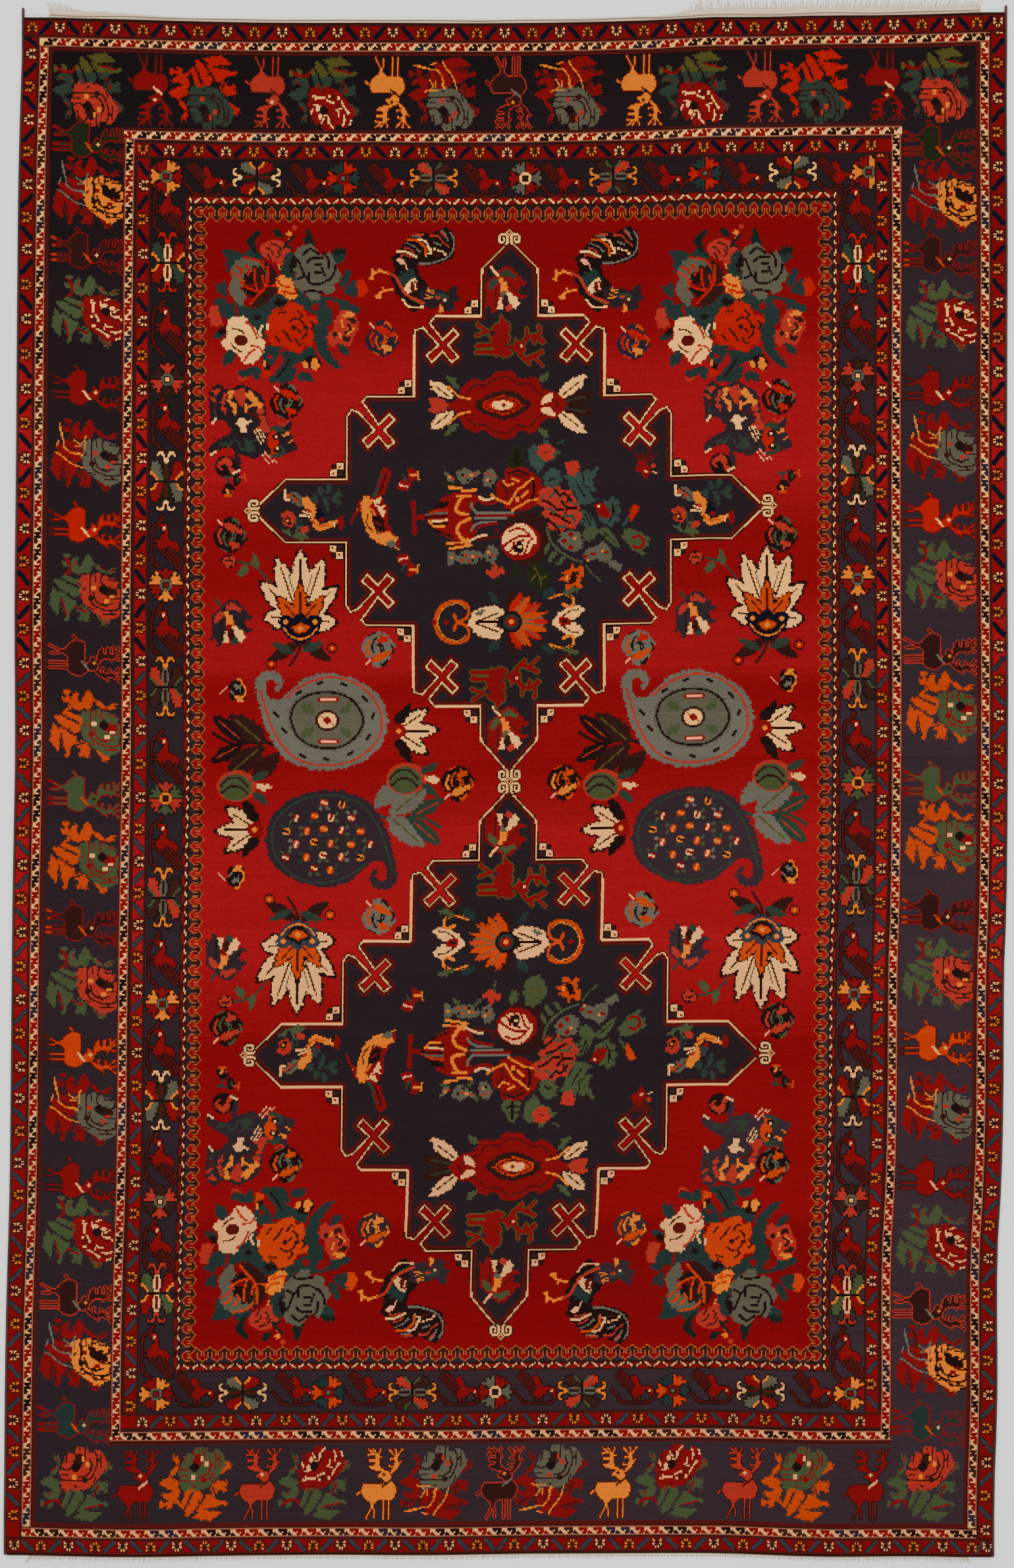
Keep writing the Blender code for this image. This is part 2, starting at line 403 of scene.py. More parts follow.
FADING = {                      # a dye: first and last row of its change, and what it becomes
    "b": (478, 496, (46, 49, 54)),
    "n": (60, 620, (51, 38, 43)),
    "w": (250, 900, (216, 148, 88)),
}
RED_BATHS = ((150, 0.9), (225, 0.92), (265, 1.4), (345, 1.45), (390, 1.03), (430, 1.05),
             (465, 1.4), (490, 1.42), (505, 1.05), (560, 1.07), (620, 1.45), (700, 1.45),
             (785, 1), (905, 1.05), (918, 0.83), (1000, 0.9))  # row, and the red's strength

# A ring of the pile has an outer and an inner depth in knots, at the head, the foot and the
# sides.
GUARD_OUTER = ((0, 0, 0), (15, 14, 14))
GUARD_ROSETTE = """
    ...1B1...
    .B.1B1.B.
    .1BBBBB1.
    .11BBB11.
    ..BBBBB..
    .11B.B11.
    .1B...B1.
"""
BAR_FOOT = 0.34                 # where a bar stands, as a share of the pitch from a rosette
BAR_WIDTH, BAR_CORE = 4, 2.8    # a bar with its brown outline, and its navy middle
PAIR_LOW, PAIR_HIGH = 2, 7      # how far two bars that part like a V are from their middle
PATCH = (5.4, 5)                # half the width and the height of a rosette's maroon ground


def guard_stripe(length, height, rosettes):
    """A guard stripe, its outer edge at the top. Each rosette is (place, dye, gap), and
    its petals leave a gap to the outer or to the inner side."""
    strip = blank(length, height)
    strip[:] = ink("R")
    top, bottom = 4, height - 3
    middle = (top + bottom) / 2
    for (x, _, gap), (next_x, _, next_gap) in zip(rosettes, rosettes[1:]):
        foot = BAR_FOOT * (next_x - x)
        near = (x + foot, bottom if gap == "inner" else top)
        far = (next_x - foot, bottom if next_gap == "inner" else top)
        bars = [(near, far)]
        if gap == next_gap:
            between, low, high = (x + next_x) / 2, near[1], top + bottom - near[1]
            bars = [((between + way * PAIR_LOW, low), (between + way * PAIR_HIGH, high))
                    for way in (-1, 1)]
        for bar in bars:
            stroke(strip, bar, BAR_WIDTH, ink("B"))
            stroke(strip, bar, BAR_CORE, ink("b"))
    for x, dye, gap in rosettes:
        end, flip = (bottom, "") if gap == "inner" else (top, "v")
        oval(strip, x, middle, *PATCH, ink("m"))
        broad, narrow = PATCH[1], PATCH[1] - 1
        fill(strip, [(x - broad, middle), (x + broad, middle), (x + narrow, end),
                     (x - narrow, end)], ink("m"))
        stamp(strip, charted(GUARD_ROSETTE, dye), x, middle, flip=flip)
    for row, dye in ((0, "B"), (1, "B"), (2, "m"), (-2, "m"), (-1, "B")):
        strip[row] = ink(dye)
    return strip


def alternating(places, first_dye, first_gap):
    """Rosettes turn about, gold and white, gap to the inner and to the outer side."""
    dyes, gaps = "yw", ("inner", "outer")
    dye, gap = dyes.index(first_dye), gaps.index(first_gap)
    return [(x, dyes[(i + dye) % 2], gaps[(i + gap) % 2]) for i, x in enumerate(places)]


head_run = alternating(np.linspace(8, 727, 35), "y", "inner") + [(743, "w", "outer")]
foot_run = (alternating(np.linspace(8, 358.5, 18), "w", "inner")
            + alternating(np.linspace(387, 732, 17), "y", "outer") + [(745, "w", "inner")])
left_places = np.concatenate([[-7], np.linspace(12.5, 161, 7), np.linspace(187.4, 372, 8),
                              np.linspace(397.6, 781, 16)])
left_run = (alternating(left_places, "y", "outer")
            + alternating(np.linspace(805, 1121, 14), "w", "outer"))
right_places = np.concatenate([np.linspace(-2.2, 515.5, 21), np.linspace(541.5, 1130.5, 24)])
right_run = alternating(right_places, "w", "outer")
head, foot, side = GUARD_OUTER[1]
lay(guard_stripe(COLUMNS, head, head_run), "head", 0, 0)
lay(guard_stripe(COLUMNS, foot, foot_run), "foot", 0, 0)
lay(guard_stripe(ROWS - head - foot, side, left_run), "left", head, 0)
lay(guard_stripe(ROWS - head - foot, side, right_run), "right", head, 0)
pile_piece("outer_guard_stripe", ring(*GUARD_OUTER))


# The outer cream stripe: a narrow stripe of undyed wool, tied with the rest of the pile. It
# holds a row of hooked crosses, two dark and two red by turns, leaning the same way and
# set close.
CREAM_OUTER = ((15, 14, 14), (25, 25, 24))
CREAM_HEIGHT = 7
HOOKED_CROSS = """
    ...111.1111
    ...1111111.
    .11.111.1..
    1111111....
    1111111....
"""
SIDE_CROSS = """
    ....11.111111
    ....111111111
    .11.11111.11.
    111.11111....
    111111.11....
"""
DYES.update({"N": (35, 29, 42), "d": (50, 27, 20), "x": (130, 76, 56)})


def cream_stripe(length, crosses, before, after, cross=HOOKED_CROSS):
    """A cream stripe with its dark and red lines before and after it. The rows at its two
    edges look duller, because the pile of the dark row above leans over the cream."""
    rows = before + "x" + "w" * (CREAM_HEIGHT - 2) + "x" + after
    strip = blank(length, len(rows))
    for row, letter in enumerate(rows):
        strip[row] = ink(letter)
    for x, dye in crosses:
        stamp(strip, charted(cross, dye), x, len(before) + CREAM_HEIGHT / 2)
    return strip


def crosses_along(first, last, pitch, start):
    """Two dark crosses and two red ones by turns; the dark pairs vary as the yarn did."""
    places = np.arange(first, last, pitch)
    return [(x, "kkdN"[(i + start) // 4 % 4] if (i + start) % 4 < 2 else "r")
            for i, x in enumerate(places)]


head, foot, along = CREAM_OUTER[0]
length = COLUMNS - 2 * along
lay(cream_stripe(length, crosses_along(8.5, 720, 10.43, 1), "", "Bmm"), "head", along, head)
lay(cream_stripe(length, crosses_along(5, 720, 10.8, 3), "", "Bmmm"), "foot", along, foot)
start = head + CREAM_HEIGHT
length = ROWS - 2 * start
for side in ("left", "right"):
    crosses = crosses_along(-1, length - 2, 12.4, 2)
    lay(cream_stripe(length, crosses, "", "Bmm", SIDE_CROSS), side, start, along)
pile_piece("outer_cream_stripe", ring(*CREAM_OUTER))


# The main border: a dark blue ground with a procession of deer and, between them, roses
# on big leaves, all of wool. The weaver keeps to one way up along both long sides.
MAIN_BORDER = ((25, 25, 24), (82, 85, 80))
DYES.update({
    "D": (30, 34, 18), "Y": (152, 72, 34),
    "o": (174, 54, 12), "O": (158, 18, 11), "c": (151, 40, 31), "t": (32, 45, 42),
    "T": (78, 75, 60), "g": (60, 69, 43), "e": (69, 66, 28), "G": (90, 86, 75),
    "p": (236, 140, 96), "H": (41, 52, 41), "j": (45, 62, 53),
})
FADING["O"] = (480, 680, (176, 46, 10))
DEER = """
    F 1 4.8,33 4.6,36 6.5,40 9.5,42.6 12.5,44.6 14,45.5 15.5,43.5 18.5,41.6 21,42.6 24,41.6 27,42.6 \
        29.5,40 31,36 31,33 29,29 27.5,27.5 19.5,29.8 9.5,29.6 6.5,30.5
    L1.1 1 1.5,38 5,35 / 8.5,56 13.5,46 16,42 / 14.9,56 14.9,51 10.5,42 / 21.5,55 21.5,42 / 25.5,55 \
        25.5,42
    L1.1 2 8.5,56 9.3,54 / 14.9,56 14.9,54 / 21.5,56 21.5,54 / 25.5,56 25.5,54
    F 1 24,29 27,27 26.5,23 25,20 21,20 17.5,23 17.5,25.5 20,25 22,28 / 21.5,20.5 17,20 12,18.5 \
        10,16.5 14,16 15.4,13 15.5,8.5 18,8.5 17.8,14 19,17.5 22,19
    L1 1 10.5,12 14.5,12 / 17,10.5 19.5,9.5 / 9.5,8 15,7.5
    L1.1 1 15.5,8.5 9.5,3.5 / 16,7.5 13.5,3.5 / 17,8.5 19,3
    F 1 26,21.5 29,17.5 29.6,13 29,8.5 31.5,8.5 32,12 33.5,14.5 32,17.5 28,22
    L1 1 34.5,12.5 32,15 / 25.5,16 29,16.5 / 26.5,11 29.5,10.5
    L1.1 1 30,9 25.5,4 / 30.5,8 30,3 / 31,9 35,3.5
"""
DEER_MARKS = """
    S1.7 2 20.5,32 23.5,29.5 26.5,27
    O1.2 3 21.5,22.5
"""
BOUQUET = """
    J 7 1,38 4,41 10,42.5 14,41 16,37.5 15,33 13.5,28 10,25.5 3,26 -0.5,29 4,32.5 9,34 10,35.5 \
        7,36.5 2,36.5 / 40.5,41 42.5,38 45,35 48.5,35.5 53,37 50,33 52.5,28.5 45,28 41,28.5 38.5,33 \
        / 44,23 50,21.5 54,17 53.5,12.5 50.5,13.5 47,18
    V4 7 7.5,25 14.5,15 / 14.5,14 10,8.5
    F 7 17.5,45 25,44 33,43 45,42.5 41,40 37,37.5 33,40 32,36 29,34.5 20,34.5 17,39
    S1.5 3 21,47 22.5,42 25,37
    S1.8 3 32.5,44 34,40 / 15.5,44 18.5,38
    S1.3 8 6,38.5 8,38 / 9,21 11.5,17.5 / 13,13 12,10.5 / 48,20.5 51,18 52,14.5 / 14,37 15.5,35.5 / \
        22.5,37 23.5,34
    S2 8 40.5,39 42,35 43.5,31.5
    S1.1 3 42.5,39 40.5,33
    J 8 1,47.5 3,48 6,46 11,44 13.5,44 16,48.5 17,49 17,46 14,42 9,42.5 4,44
    V2.6 2 0,49 1,42.5 / 5.5,49 10,45 / 16.5,49 20.5,43
    J 2 19.5,54.5 24.5,54 27,50 30,46 32,43 24,43 21.5,46.5 19.5,50 / 25.5,55.5 31.5,57.5 39.5,58 \
        43.5,55.5 47.5,52.5 44.5,51 37,50.5 42,49.5 44.5,47 51.5,45.5 49,43.5 44,42.5 35,42.5 30,47 \
        27.5,51
    S1.6 3 25.5,53 29.5,51.5
    S1 3 26,53.5 28,48 33,43 / 37,50.8 47,51
    S1.3 8 35,48.5 41,47 47,45.5
    S1 3 34,49.5 41,48.5 48,46.5
    J 1 16.5,34.5 19.5,36 22.5,33.5 28.5,35.5 35.5,34.5 38.5,31.5 43.5,26.5 45,22.5 48,20 50.5,13.5 \
        48.5,8.5 45.5,5 40.5,4.5 36.5,6.5 36,3 27.5,2 25.5,6.5 21.5,5.5 17.5,10.5 16.5,14.5 15,21.5 \
        15,28.5
    O2.2 4 33.5,27
    C 4 28,16 32,15 33,10 29,8 25,12
    S1.2 4 15,27 24,27.5 32,27.5 38,25.5 41,20 43,12 41,5 / 29.5,25 35.5,23 38.5,17.5 37.5,11 / \
        14.5,17.5 19.5,19.5 24,18 / 26.5,10.5 25.5,5 / 33.5,11.5 33.5,4 / 19,14 20,8 / 40,30 42,24
    S1.1 4 46,18 45,11 46,7 / 16,23 20,23.5 / 25,31 28,33 / 37,19 40,15 / 29,5 30,3
    O3.2x3.6 k 26.5,17.5
    O1.7x2.4 5 25.5,25 35.5,15
    O1.4x2 5 32,11
    O1.4 9 31,28 34,23 38,26.5 45.5,15.5
    O1.4x2 9 22.5,18.5 24.5,12.5
    S1.2 9 18,28 21,28 20.5,25.5 / 21,27 28,27 / 29.5,25 34,23 / 40.5,24.5 42,20.5 46,15 / 36.5,17.5 \
        41,19 / 38,16.5 38.5,12.5 / 19.5,21.5 24.5,20.5 / 18.5,18.5 17.5,14.5 / 27.5,13.5 30.5,12.5 \
        31,7.5 / 27.5,11.5 25.5,8 / 32.5,6.5 34.5,3.5 / 42.5,13.5 43,9.5 41.5,5.5 / 48,9.5 47,6.5
"""
ROSE_STEMS = """
    S1.1 6 4,51.5 9,50.5 15,49 20.5,48.5 24.5,44.5 26,41 26,36
    S1.6 6 7,51 12,50 / 26,38 27.5,34
    S1.1 6 16.5,52.5 20.5,53.5 / 25.5,54.5 27.5,50.5 32.5,44.5 35,39.5 36.5,34 / 16,40.5 18.5,36.5 \
        17,34 / 20.5,39.5 20.5,35.5 / 12.5,31.5 16,33 23,32
"""


def spots(text):
    return [tuple(float(number) for number in word.split(",")) for word in text.split()]


def curve_through(points, closed):
    """A smooth line through a few points, in five short straight steps between each two."""
    count = len(points)
    line = []
    for i in range(count if closed else count - 1):
        near = [i + step for step in (-1, 0, 1, 2)]
        near = [j % count if closed else min(max(j, 0), count - 1) for j in near]
        a, b, c, d = (np.array(points[j]) for j in near)
        for t in (0.0, 0.2, 0.4, 0.6, 0.8):
            line.append(tuple(0.5 * (2 * b + (c - a) * t + (2 * a - 5 * b + 4 * c - d) * t ** 2
                                     + (3 * b - a - 3 * c + d) * t ** 3)))
    return line if closed else line + [points[-1]]


def leaf(art, base, tip, width, colour):
    """A pointed leaf from its base to its tip."""
    (x0, y0), (x1, y1) = base, tip
    part, columns, rows = window(art, [base, tip], width, True)
    long = math.hypot(x1 - x0, y1 - y0)
    t = ((columns - x0) * (x1 - x0) + (rows - y0) * (y1 - y0)) / long ** 2
    off = np.abs((columns - x0) * (y1 - y0) - (rows - y0) * (x1 - x0)) / long
    t = np.clip(t, 0, 1)
    part[off <= width / 2 * np.sin(np.pi * t) ** 0.7] = colour


def draw_shape(art, kind, sizes, points, colour):
    """Draws one shape of a motif."""
    if kind in "FJ":
        fill(art, points, colour, kind == "J")
    elif kind == "C":
        fill(art, curve_through(points, True), colour, True)
    elif kind == "L":
        stroke(art, points, sizes[0], colour)
    elif kind == "S":
        stroke(art, curve_through(points, False), sizes[0], colour)
    elif kind == "O":
        for x, y in points:
            oval(art, x, y, sizes[0], sizes[-1], colour)
    elif kind == "V":
        for base, tip in zip(points[::2], points[1::2]):
            leaf(art, base, tip, sizes[0], colour)


def draw(art, motif, dyes="", shift=(0, 0)):
    """Draws a motif's lines: a kind with its sizes, a dye, then its points, with a slash
    from shape to shape. F is a flat-sided shape, J a jagged one and C a curved one, L is a
    straight line and S a curved one, O is an oval at each point, and V a leaf from its base
    to its tip. A dye's digit is a place in dyes, and a dot there leaves the line out."""
    for line in motif.strip().splitlines():
        mark, dye, *places = line.split()
        kind, sizes = mark[0], [float(size) for size in mark[1:].split("x") if size]
        dye = dyes[int(dye) - 1] if dye.isdigit() else dye
        if dye == ".":
            continue
        for group in " ".join(places).split("/"):
            points = [(x + shift[0], y + shift[1]) for x, y in spots(group)]
            draw_shape(art, kind, sizes, points, ink(dye))


def picture(motif, width, height, dyes=""):
    """A motif drawn on its own bare ground."""
    art = blank(width, height)
    draw(art, motif, dyes)
    return art


def rimmed(art, letter):
    """The art with one knot of another dye all round it."""
    wide = np.pad(art, 1)
    near = np.zeros(wide.shape, bool)
    for rows, columns in ((0, 1), (0, -1), (1, 0), (-1, 0)):
        near |= np.roll(wide > 0, (rows, columns), (0, 1))
    wide[near & (wide == 0)] = ink(letter)
    return wide


def deer(coat, line, collar, eye, hoof):
    """A walking stag with two branching antlers, in its dyes."""
    art = rimmed(picture(DEER, 36, 58, (coat, hoof)), line)
    draw(art, DEER_MARKS, (coat, collar, eye), (1, 1))
    return art


def bouquet(*dyes):
    """A rose under its leaves. Its dyes are the flower's, the leaves', their veins', the
    cuts', the specks', the stems', the low leaves' and the flecks', then the streaks' if it
    has any; a dot leaves a part of it out."""
    art = picture(BOUQUET, 60, 62, (*dyes, "."))
    draw(art, ROSE_STEMS, dyes)
    return art


RED_DEER = "rBwwm"
CORAL_DEER = "cBmwc"
GOLD_DEER = "ymBBy"
BROWN_DEER = "BcGym"
UMBER_DEER = "Browo"
GREEN_DEER = "Drowr"
OLIVE_DEER = "groBr"
TEAL_DEER = "trowr"
FLAME_DEER = "Omwwm"
CORAL_ROSE = "cenBy.Hr"
CORAL_ON_GREEN = "cgnBy.gr"
TEAL_ROSE = "HOnBc.OO"
GREEN_ROSE = "gonrw.oo"
WHITE_ROSE = "renm..Hrw"
WHITE_ON_GREEN = "rgnm..grw"
GREY_ROSE = "TrmBcyrm"
GOLD_ROSE = "yrmkrGrmk"
HEAD_BEASTS = ((99, RED_DEER), (188, CORAL_DEER), (279, GOLD_DEER), (371, BROWN_DEER),
               (470, GOLD_DEER), (562, CORAL_DEER), (655, RED_DEER))
HEAD_ROSES = ((55, CORAL_ROSE), (143, TEAL_ROSE), (234, WHITE_ROSE), (325, GREY_ROSE),
              (421, GREY_ROSE), (515, WHITE_ROSE), (607, TEAL_ROSE), (699, CORAL_ROSE))
FOOT_BEASTS = ((100, RED_DEER), (192, CORAL_DEER), (284, GOLD_DEER), (375, BROWN_DEER),
               (461, GOLD_DEER), (557, CORAL_DEER), (652, RED_DEER))
FOOT_ROSES = ((58, CORAL_ON_GREEN), (148, GREEN_ROSE), (238, WHITE_ON_GREEN), (330, GREY_ROSE),
              (417, GREY_ROSE), (508, WHITE_ON_GREEN), (603, GREEN_ROSE), (698, CORAL_ON_GREEN))
SIDE_BEASTS = (GREEN_DEER, UMBER_DEER, RED_DEER, FLAME_DEER, BROWN_DEER, OLIVE_DEER,
               UMBER_DEER, FLAME_DEER, RED_DEER, BROWN_DEER, TEAL_DEER)
SIDE_ROSES = (GOLD_ROSE, WHITE_ON_GREEN, GREY_ROSE, CORAL_ON_GREEN, GREEN_ROSE, GREEN_ROSE,
              CORAL_ON_GREEN, GREY_ROSE, WHITE_ON_GREEN, GOLD_ROSE)
LEFT_BEAST_ROWS = (92, 176, 280, 384, 485, 588, 686, 782, 881, 970, 1063)
LEFT_ROSE_ROWS = (135, 225, 334, 436, 539, 639, 734, 830, 923, 1016)
RIGHT_BEAST_ROWS = (98, 182, 283, 379, 482, 582, 679, 778, 880, 977, 1065)
RIGHT_ROSE_ROWS = (141, 231, 330, 428, 527, 625, 728, 830, 930, 1021)

before = chart.copy()
chart[ring(*MAIN_BORDER)] = ink("n")
for places, y, flip in ((HEAD_BEASTS, 54, "v"), (FOOT_BEASTS, 1111, "")):
    for x, dyes in places:
        stamp(chart, deer(*dyes), x, y, flip=flip)
for places, y, flip in ((HEAD_ROSES, 53, "v"), (FOOT_ROSES, 1112, "")):
    for x, dyes in places:
        stamp(chart, bouquet(*dyes), x, y, flip=flip)
for rows, x in ((LEFT_BEAST_ROWS, 54), (RIGHT_BEAST_ROWS, 699)):
    for y, dyes in zip(rows, SIDE_BEASTS):
        stamp(chart, deer(*dyes), x, y, turns=1)
for rows, x in ((LEFT_ROSE_ROWS, 54), (RIGHT_ROSE_ROWS, 700)):
    for y, dyes in zip(rows, SIDE_ROSES):
        stamp(chart, bouquet(*dyes), x, y, turns=1)
chart = np.where(ring(*MAIN_BORDER), chart, before)
pile_piece("main_border", ring(*MAIN_BORDER))


# The inner cream and guard stripes: between the main border and the border of birds come
# the same hooked crosses on undyed wool once more, and the same meander of bars with its
# rosettes, all knotted like the outer ones.
STRIPES_INNER = ((82, 85, 80), (105, 109, 101))
GUARD_INNER = ((91, 95, 88), (105, 109, 101))

head, foot, along = STRIPES_INNER[0]
length = COLUMNS - 2 * along
lay(cream_stripe(length, crosses_along(4.5, 590, 10.9, 3), "mB", ""), "head", along, head)
lay(cream_stripe(length, crosses_along(4.5, 590, 11.0, 3), "mBm", ""), "foot", along, foot)
start = GUARD_INNER[0][0]
length = ROWS - 2 * start
for side in ("left", "right"):
    crosses = crosses_along(5, length + 2, 12.2, 0)
    lay(cream_stripe(length, crosses, "m", "", SIDE_CROSS), side, start, along)

head_run = alternating([7, *np.linspace(27, 559, 26)], "y", "outer")
foot_run = alternating([*np.linspace(16, 297, 14), *np.linspace(319, 558, 11)], "w", "outer")
left_run = alternating([*np.linspace(-5, 485, 20), *np.linspace(509, 946, 19)], "y", "outer")
right_run = alternating([*np.linspace(-1, 489, 20), *np.linspace(515, 957, 18)], "y", "inner")
(head, foot, along), (start, end, inner) = GUARD_INNER
length, height = COLUMNS - 2 * along, start - head
lay(guard_stripe(length, height, head_run), "head", along, head)
lay(guard_stripe(length, height, foot_run), "foot", along, foot)
length, height = ROWS - start - end, inner - along
lay(guard_stripe(length, height, left_run), "left", start, along)
lay(guard_stripe(length, height, right_run), "right", start, along)
pile_piece("inner_guard_and_cream_stripe", ring(*STRIPES_INNER))


# The border of birds: on the dark blue ground, red birds on boughs between four-lobed
# palmettes with horned brackets and six-petalled rosettes, all tied in wool. Every bird
# stands the same way up along an end, and lies on its back along a side.
BIRD_BORDER = ((105, 109, 101), (132, 140, 127))
SIDE_BIRD_LENGTH, SIDE_PALMETTE_LENGTH = 46, 55  # the birds' and palmettes' along the sides
BIRD = """
    S1.5 m 1,17 6,23 9,26 28,26 32,22 36,18
    L1.4 m 18,21 18,25 / 21,21 21,25
    L1.3 m 3,5 15.5,20 / 4.8,4 16.7,18 / 6.4,3 18,16 / 8,2.4 19,14
    C r 14.5,5.5 18,6 21,10 22,14 19,15 17,12 16,8 / 16,18 19,14.5 23,14.5 26,16 24,19 21,21.5 17,21
    S3 r 22,16 27,15.5 30,16.5
    O2.5x2.3 r 30,17
    S1.3 r 31.5,18.5 30,20.5
    O1 w 29.3,17.2
"""
PALMETTE_QUARTER = """
    C 1 19.5,6 17,3 14,1 11,1.5 9,4 9.5,7 13,9 17,10 19.5,11.5
    V2.6 3 19.5,6.5 16,1
"""
PALMETTE_HEART = """
    L5 4 12.3,13 18,13 / 24,13 29.7,13
    L2.2 5 12.3,13 18,13 / 24,13 29.7,13
    S1.5 6 5.5,6.5 3.6,8.5 5,11 9,12.2 / 9,13.8 5,15 3.6,17.5 5.5,19.5 / 36.5,6.5 38.4,8.5 37,11 \
        33,12.2 / 33,13.8 37,15 38.4,17.5 36.5,19.5
"""


def drawn_out(art, length, share=1.0):
    """The art, or the first share of its rows, spread over another length."""
    return art[(np.arange(length) * len(art) * share / length).astype(int)]


def palmette(first, second, tips, heart, line, horns):
    """Four lobes, the opposite ones alike, round two bars between horned brackets."""
    art = blank(42, 27)
    for dye, flip in ((first, 1), (second, -1)):
        quarter = blank(42, 27)
        draw(quarter, PALMETTE_QUARTER, (dye, "", tips))
        for lobe in (quarter[:, ::flip], quarter[::-1, ::-flip]):
            art[lobe > 0] = lobe[lobe > 0]
    draw(art, PALMETTE_HEART, ("", "", "", heart, line, horns))
    return rimmed(art, "k")


ROSETTE_WIDTH = 27              # knots, and each of its petals takes 60 degrees


def rosette(three, others, hoop, middle):
    """Six toothed petals, three of one dye and three of another, round a hooped eye."""
    reach = ROSETTE_WIDTH // 2
    rows, columns = np.mgrid[-reach:reach + 1.0, -reach:reach + 1.0]
    radius, angle = np.hypot(columns, rows), np.degrees(np.arctan2(-rows, columns)) % 360
    petal = ((angle + 30) // 60).astype(int) % 6
    off = np.abs((angle + 30) % 60 - 30)
    edge = 12.3 - 1.8 * (np.abs(off - 12) < 5)
    art = np.where(petal % 2 == 1, ink(three), ink(others)).astype(np.uint8)
    art[(radius > edge) | (off > 20 + (radius - 5) * 1.1)] = 0
    square = (np.abs(columns) ** 3 + np.abs(rows) ** 3) ** (1 / 3)
    for size, dye in ((5, "k"), (4.4, hoop), (2.9, "B"), (1.7, middle)):
        art[square < size] = ink(dye)
    return rimmed(art, "k")


GREY_RED = "TryDmw"
RED_GREY = "rTyDmw"
CORAL_BROWN = "cdgTBy"
BROWN_CORAL = "dcgTBy"
TEAL_RED = "HrywmO"
GREEN_RED = "grywmc"
RED_GREEN = "rgywmc"
GOLD_EYE = "yrTr"
FLAME_EYE = "OtrT"
TEAL_EYE = "rTwB"
CORAL_EYE = "cdTw"
BLOOM_EYE = "cgyB"
HEAD_BIRDS = (144, 222, 281, 353, 413, 490, 550, 621)
FOOT_BIRDS = (145, 221, 276, 345, 403, 477, 535, 612)
HEAD_PALMETTES = ((181, GREY_RED), (315, CORAL_BROWN), (451, BROWN_CORAL), (587, RED_GREY))
FOOT_PALMETTES = ((180, GREY_RED), (308, CORAL_BROWN), (436, BROWN_CORAL), (571, RED_GREY))
HEAD_EYES = ((113, GOLD_EYE), (247, FLAME_EYE), (385, TEAL_EYE), (521, FLAME_EYE), (645, GOLD_EYE))
FOOT_EYES = ((115, GOLD_EYE), (245, FLAME_EYE), (371, TEAL_EYE), (504, FLAME_EYE), (638, GOLD_EYE))
LEFT_BIRDS = (142, 232, 305, 396, 462, 558, 624, 712, 780, 863, 929, 1010)
RIGHT_BIRDS = (145, 232, 304, 393, 459, 547, 615, 707, 776, 864, 930, 1012)
LEFT_PALMETTES = ((183, TEAL_RED), (349, GREY_RED), (506, CORAL_BROWN), (665, CORAL_BROWN),
                  (820, RED_GREY), (965, GREEN_RED))
RIGHT_PALMETTES = ((188, TEAL_RED), (348, GREY_RED), (501, BROWN_CORAL), (657, BROWN_CORAL),
                   (818, RED_GREY), (968, RED_GREEN))
LEFT_EYES = ((272, CORAL_EYE, 1), (429, GOLD_EYE, 3), (591, BLOOM_EYE, 1), (747, GOLD_EYE, 3),
             (897, CORAL_EYE, 3))
RIGHT_EYES = ((272, CORAL_EYE, 3), (427, GOLD_EYE, 3), (581, BLOOM_EYE, 1), (741, GOLD_EYE, 3),
              (896, CORAL_EYE, 3))

before = chart.copy()
chart[ring(*BIRD_BORDER)] = ink("n")
bird = rimmed(picture(BIRD, 38, 29), "k")
for y, places in ((119, HEAD_BIRDS), (1040, FOOT_BIRDS)):
    for x in places:
        stamp(chart, bird, x, y)
side_bird = drawn_out(bird[::-1, ::-1].T, SIDE_BIRD_LENGTH, 0.95)
for x, places in ((116, LEFT_BIRDS), (638, RIGHT_BIRDS)):
    for y in places:
        stamp(chart, side_bird, x, y)
for y, palmettes, eyes in ((118, HEAD_PALMETTES, HEAD_EYES), (1043, FOOT_PALMETTES, FOOT_EYES)):
    for x, dyes in palmettes:
        stamp(chart, palmette(*dyes), x, y)
    for x, dyes in eyes:
        stamp(chart, rosette(*dyes), x, y)
for x, palmettes, eyes in ((114, LEFT_PALMETTES, LEFT_EYES), (636, RIGHT_PALMETTES, RIGHT_EYES)):
    for y, dyes in palmettes:
        stamp(chart, drawn_out(palmette(*dyes).T, SIDE_PALMETTE_LENGTH), x, y)
    for y, dyes, turns in eyes:
        stamp(chart, rosette(*dyes), x, y, turns)
chart = np.where(ring(*BIRD_BORDER), chart, before)
pile_piece("bird_border", ring(*BIRD_BORDER))


# The two innermost stripes: red triangles parted by short white dashes that lean to and
# fro, then a golden zigzag where hooked red points meet hooked blue ones, tied in wool.
DASH_STRIPE = ((132, 140, 127), (140, 147, 133))
POINT_STRIPE = ((140, 147, 133), (152, 159, 144))
TRIANGLE_BASE, TRIANGLE_TIP = 0.62, 0.2   # half a triangle's widths, as shares of the pitch
DASH_WIDTH, DASH_RIM = 1.2, 2.4           # a dash's white, and the brown round it
DASH_LEAN = 1.7                           # how far a dash's ends are beside its middle
HOOKED_POINT = """
    nnnnYnnnn
    nnnYRYnnn
    nnYRRRYnn
    nYRRRRRYn
    nYRRRRRYn
    BYRYRYRYB
    BYBYRYBYB
    BYBYRYBYB
    BBBYRYBBB
    BBYRRRYBB
    BYRRRRRYB
    YRRRRRRRY
"""


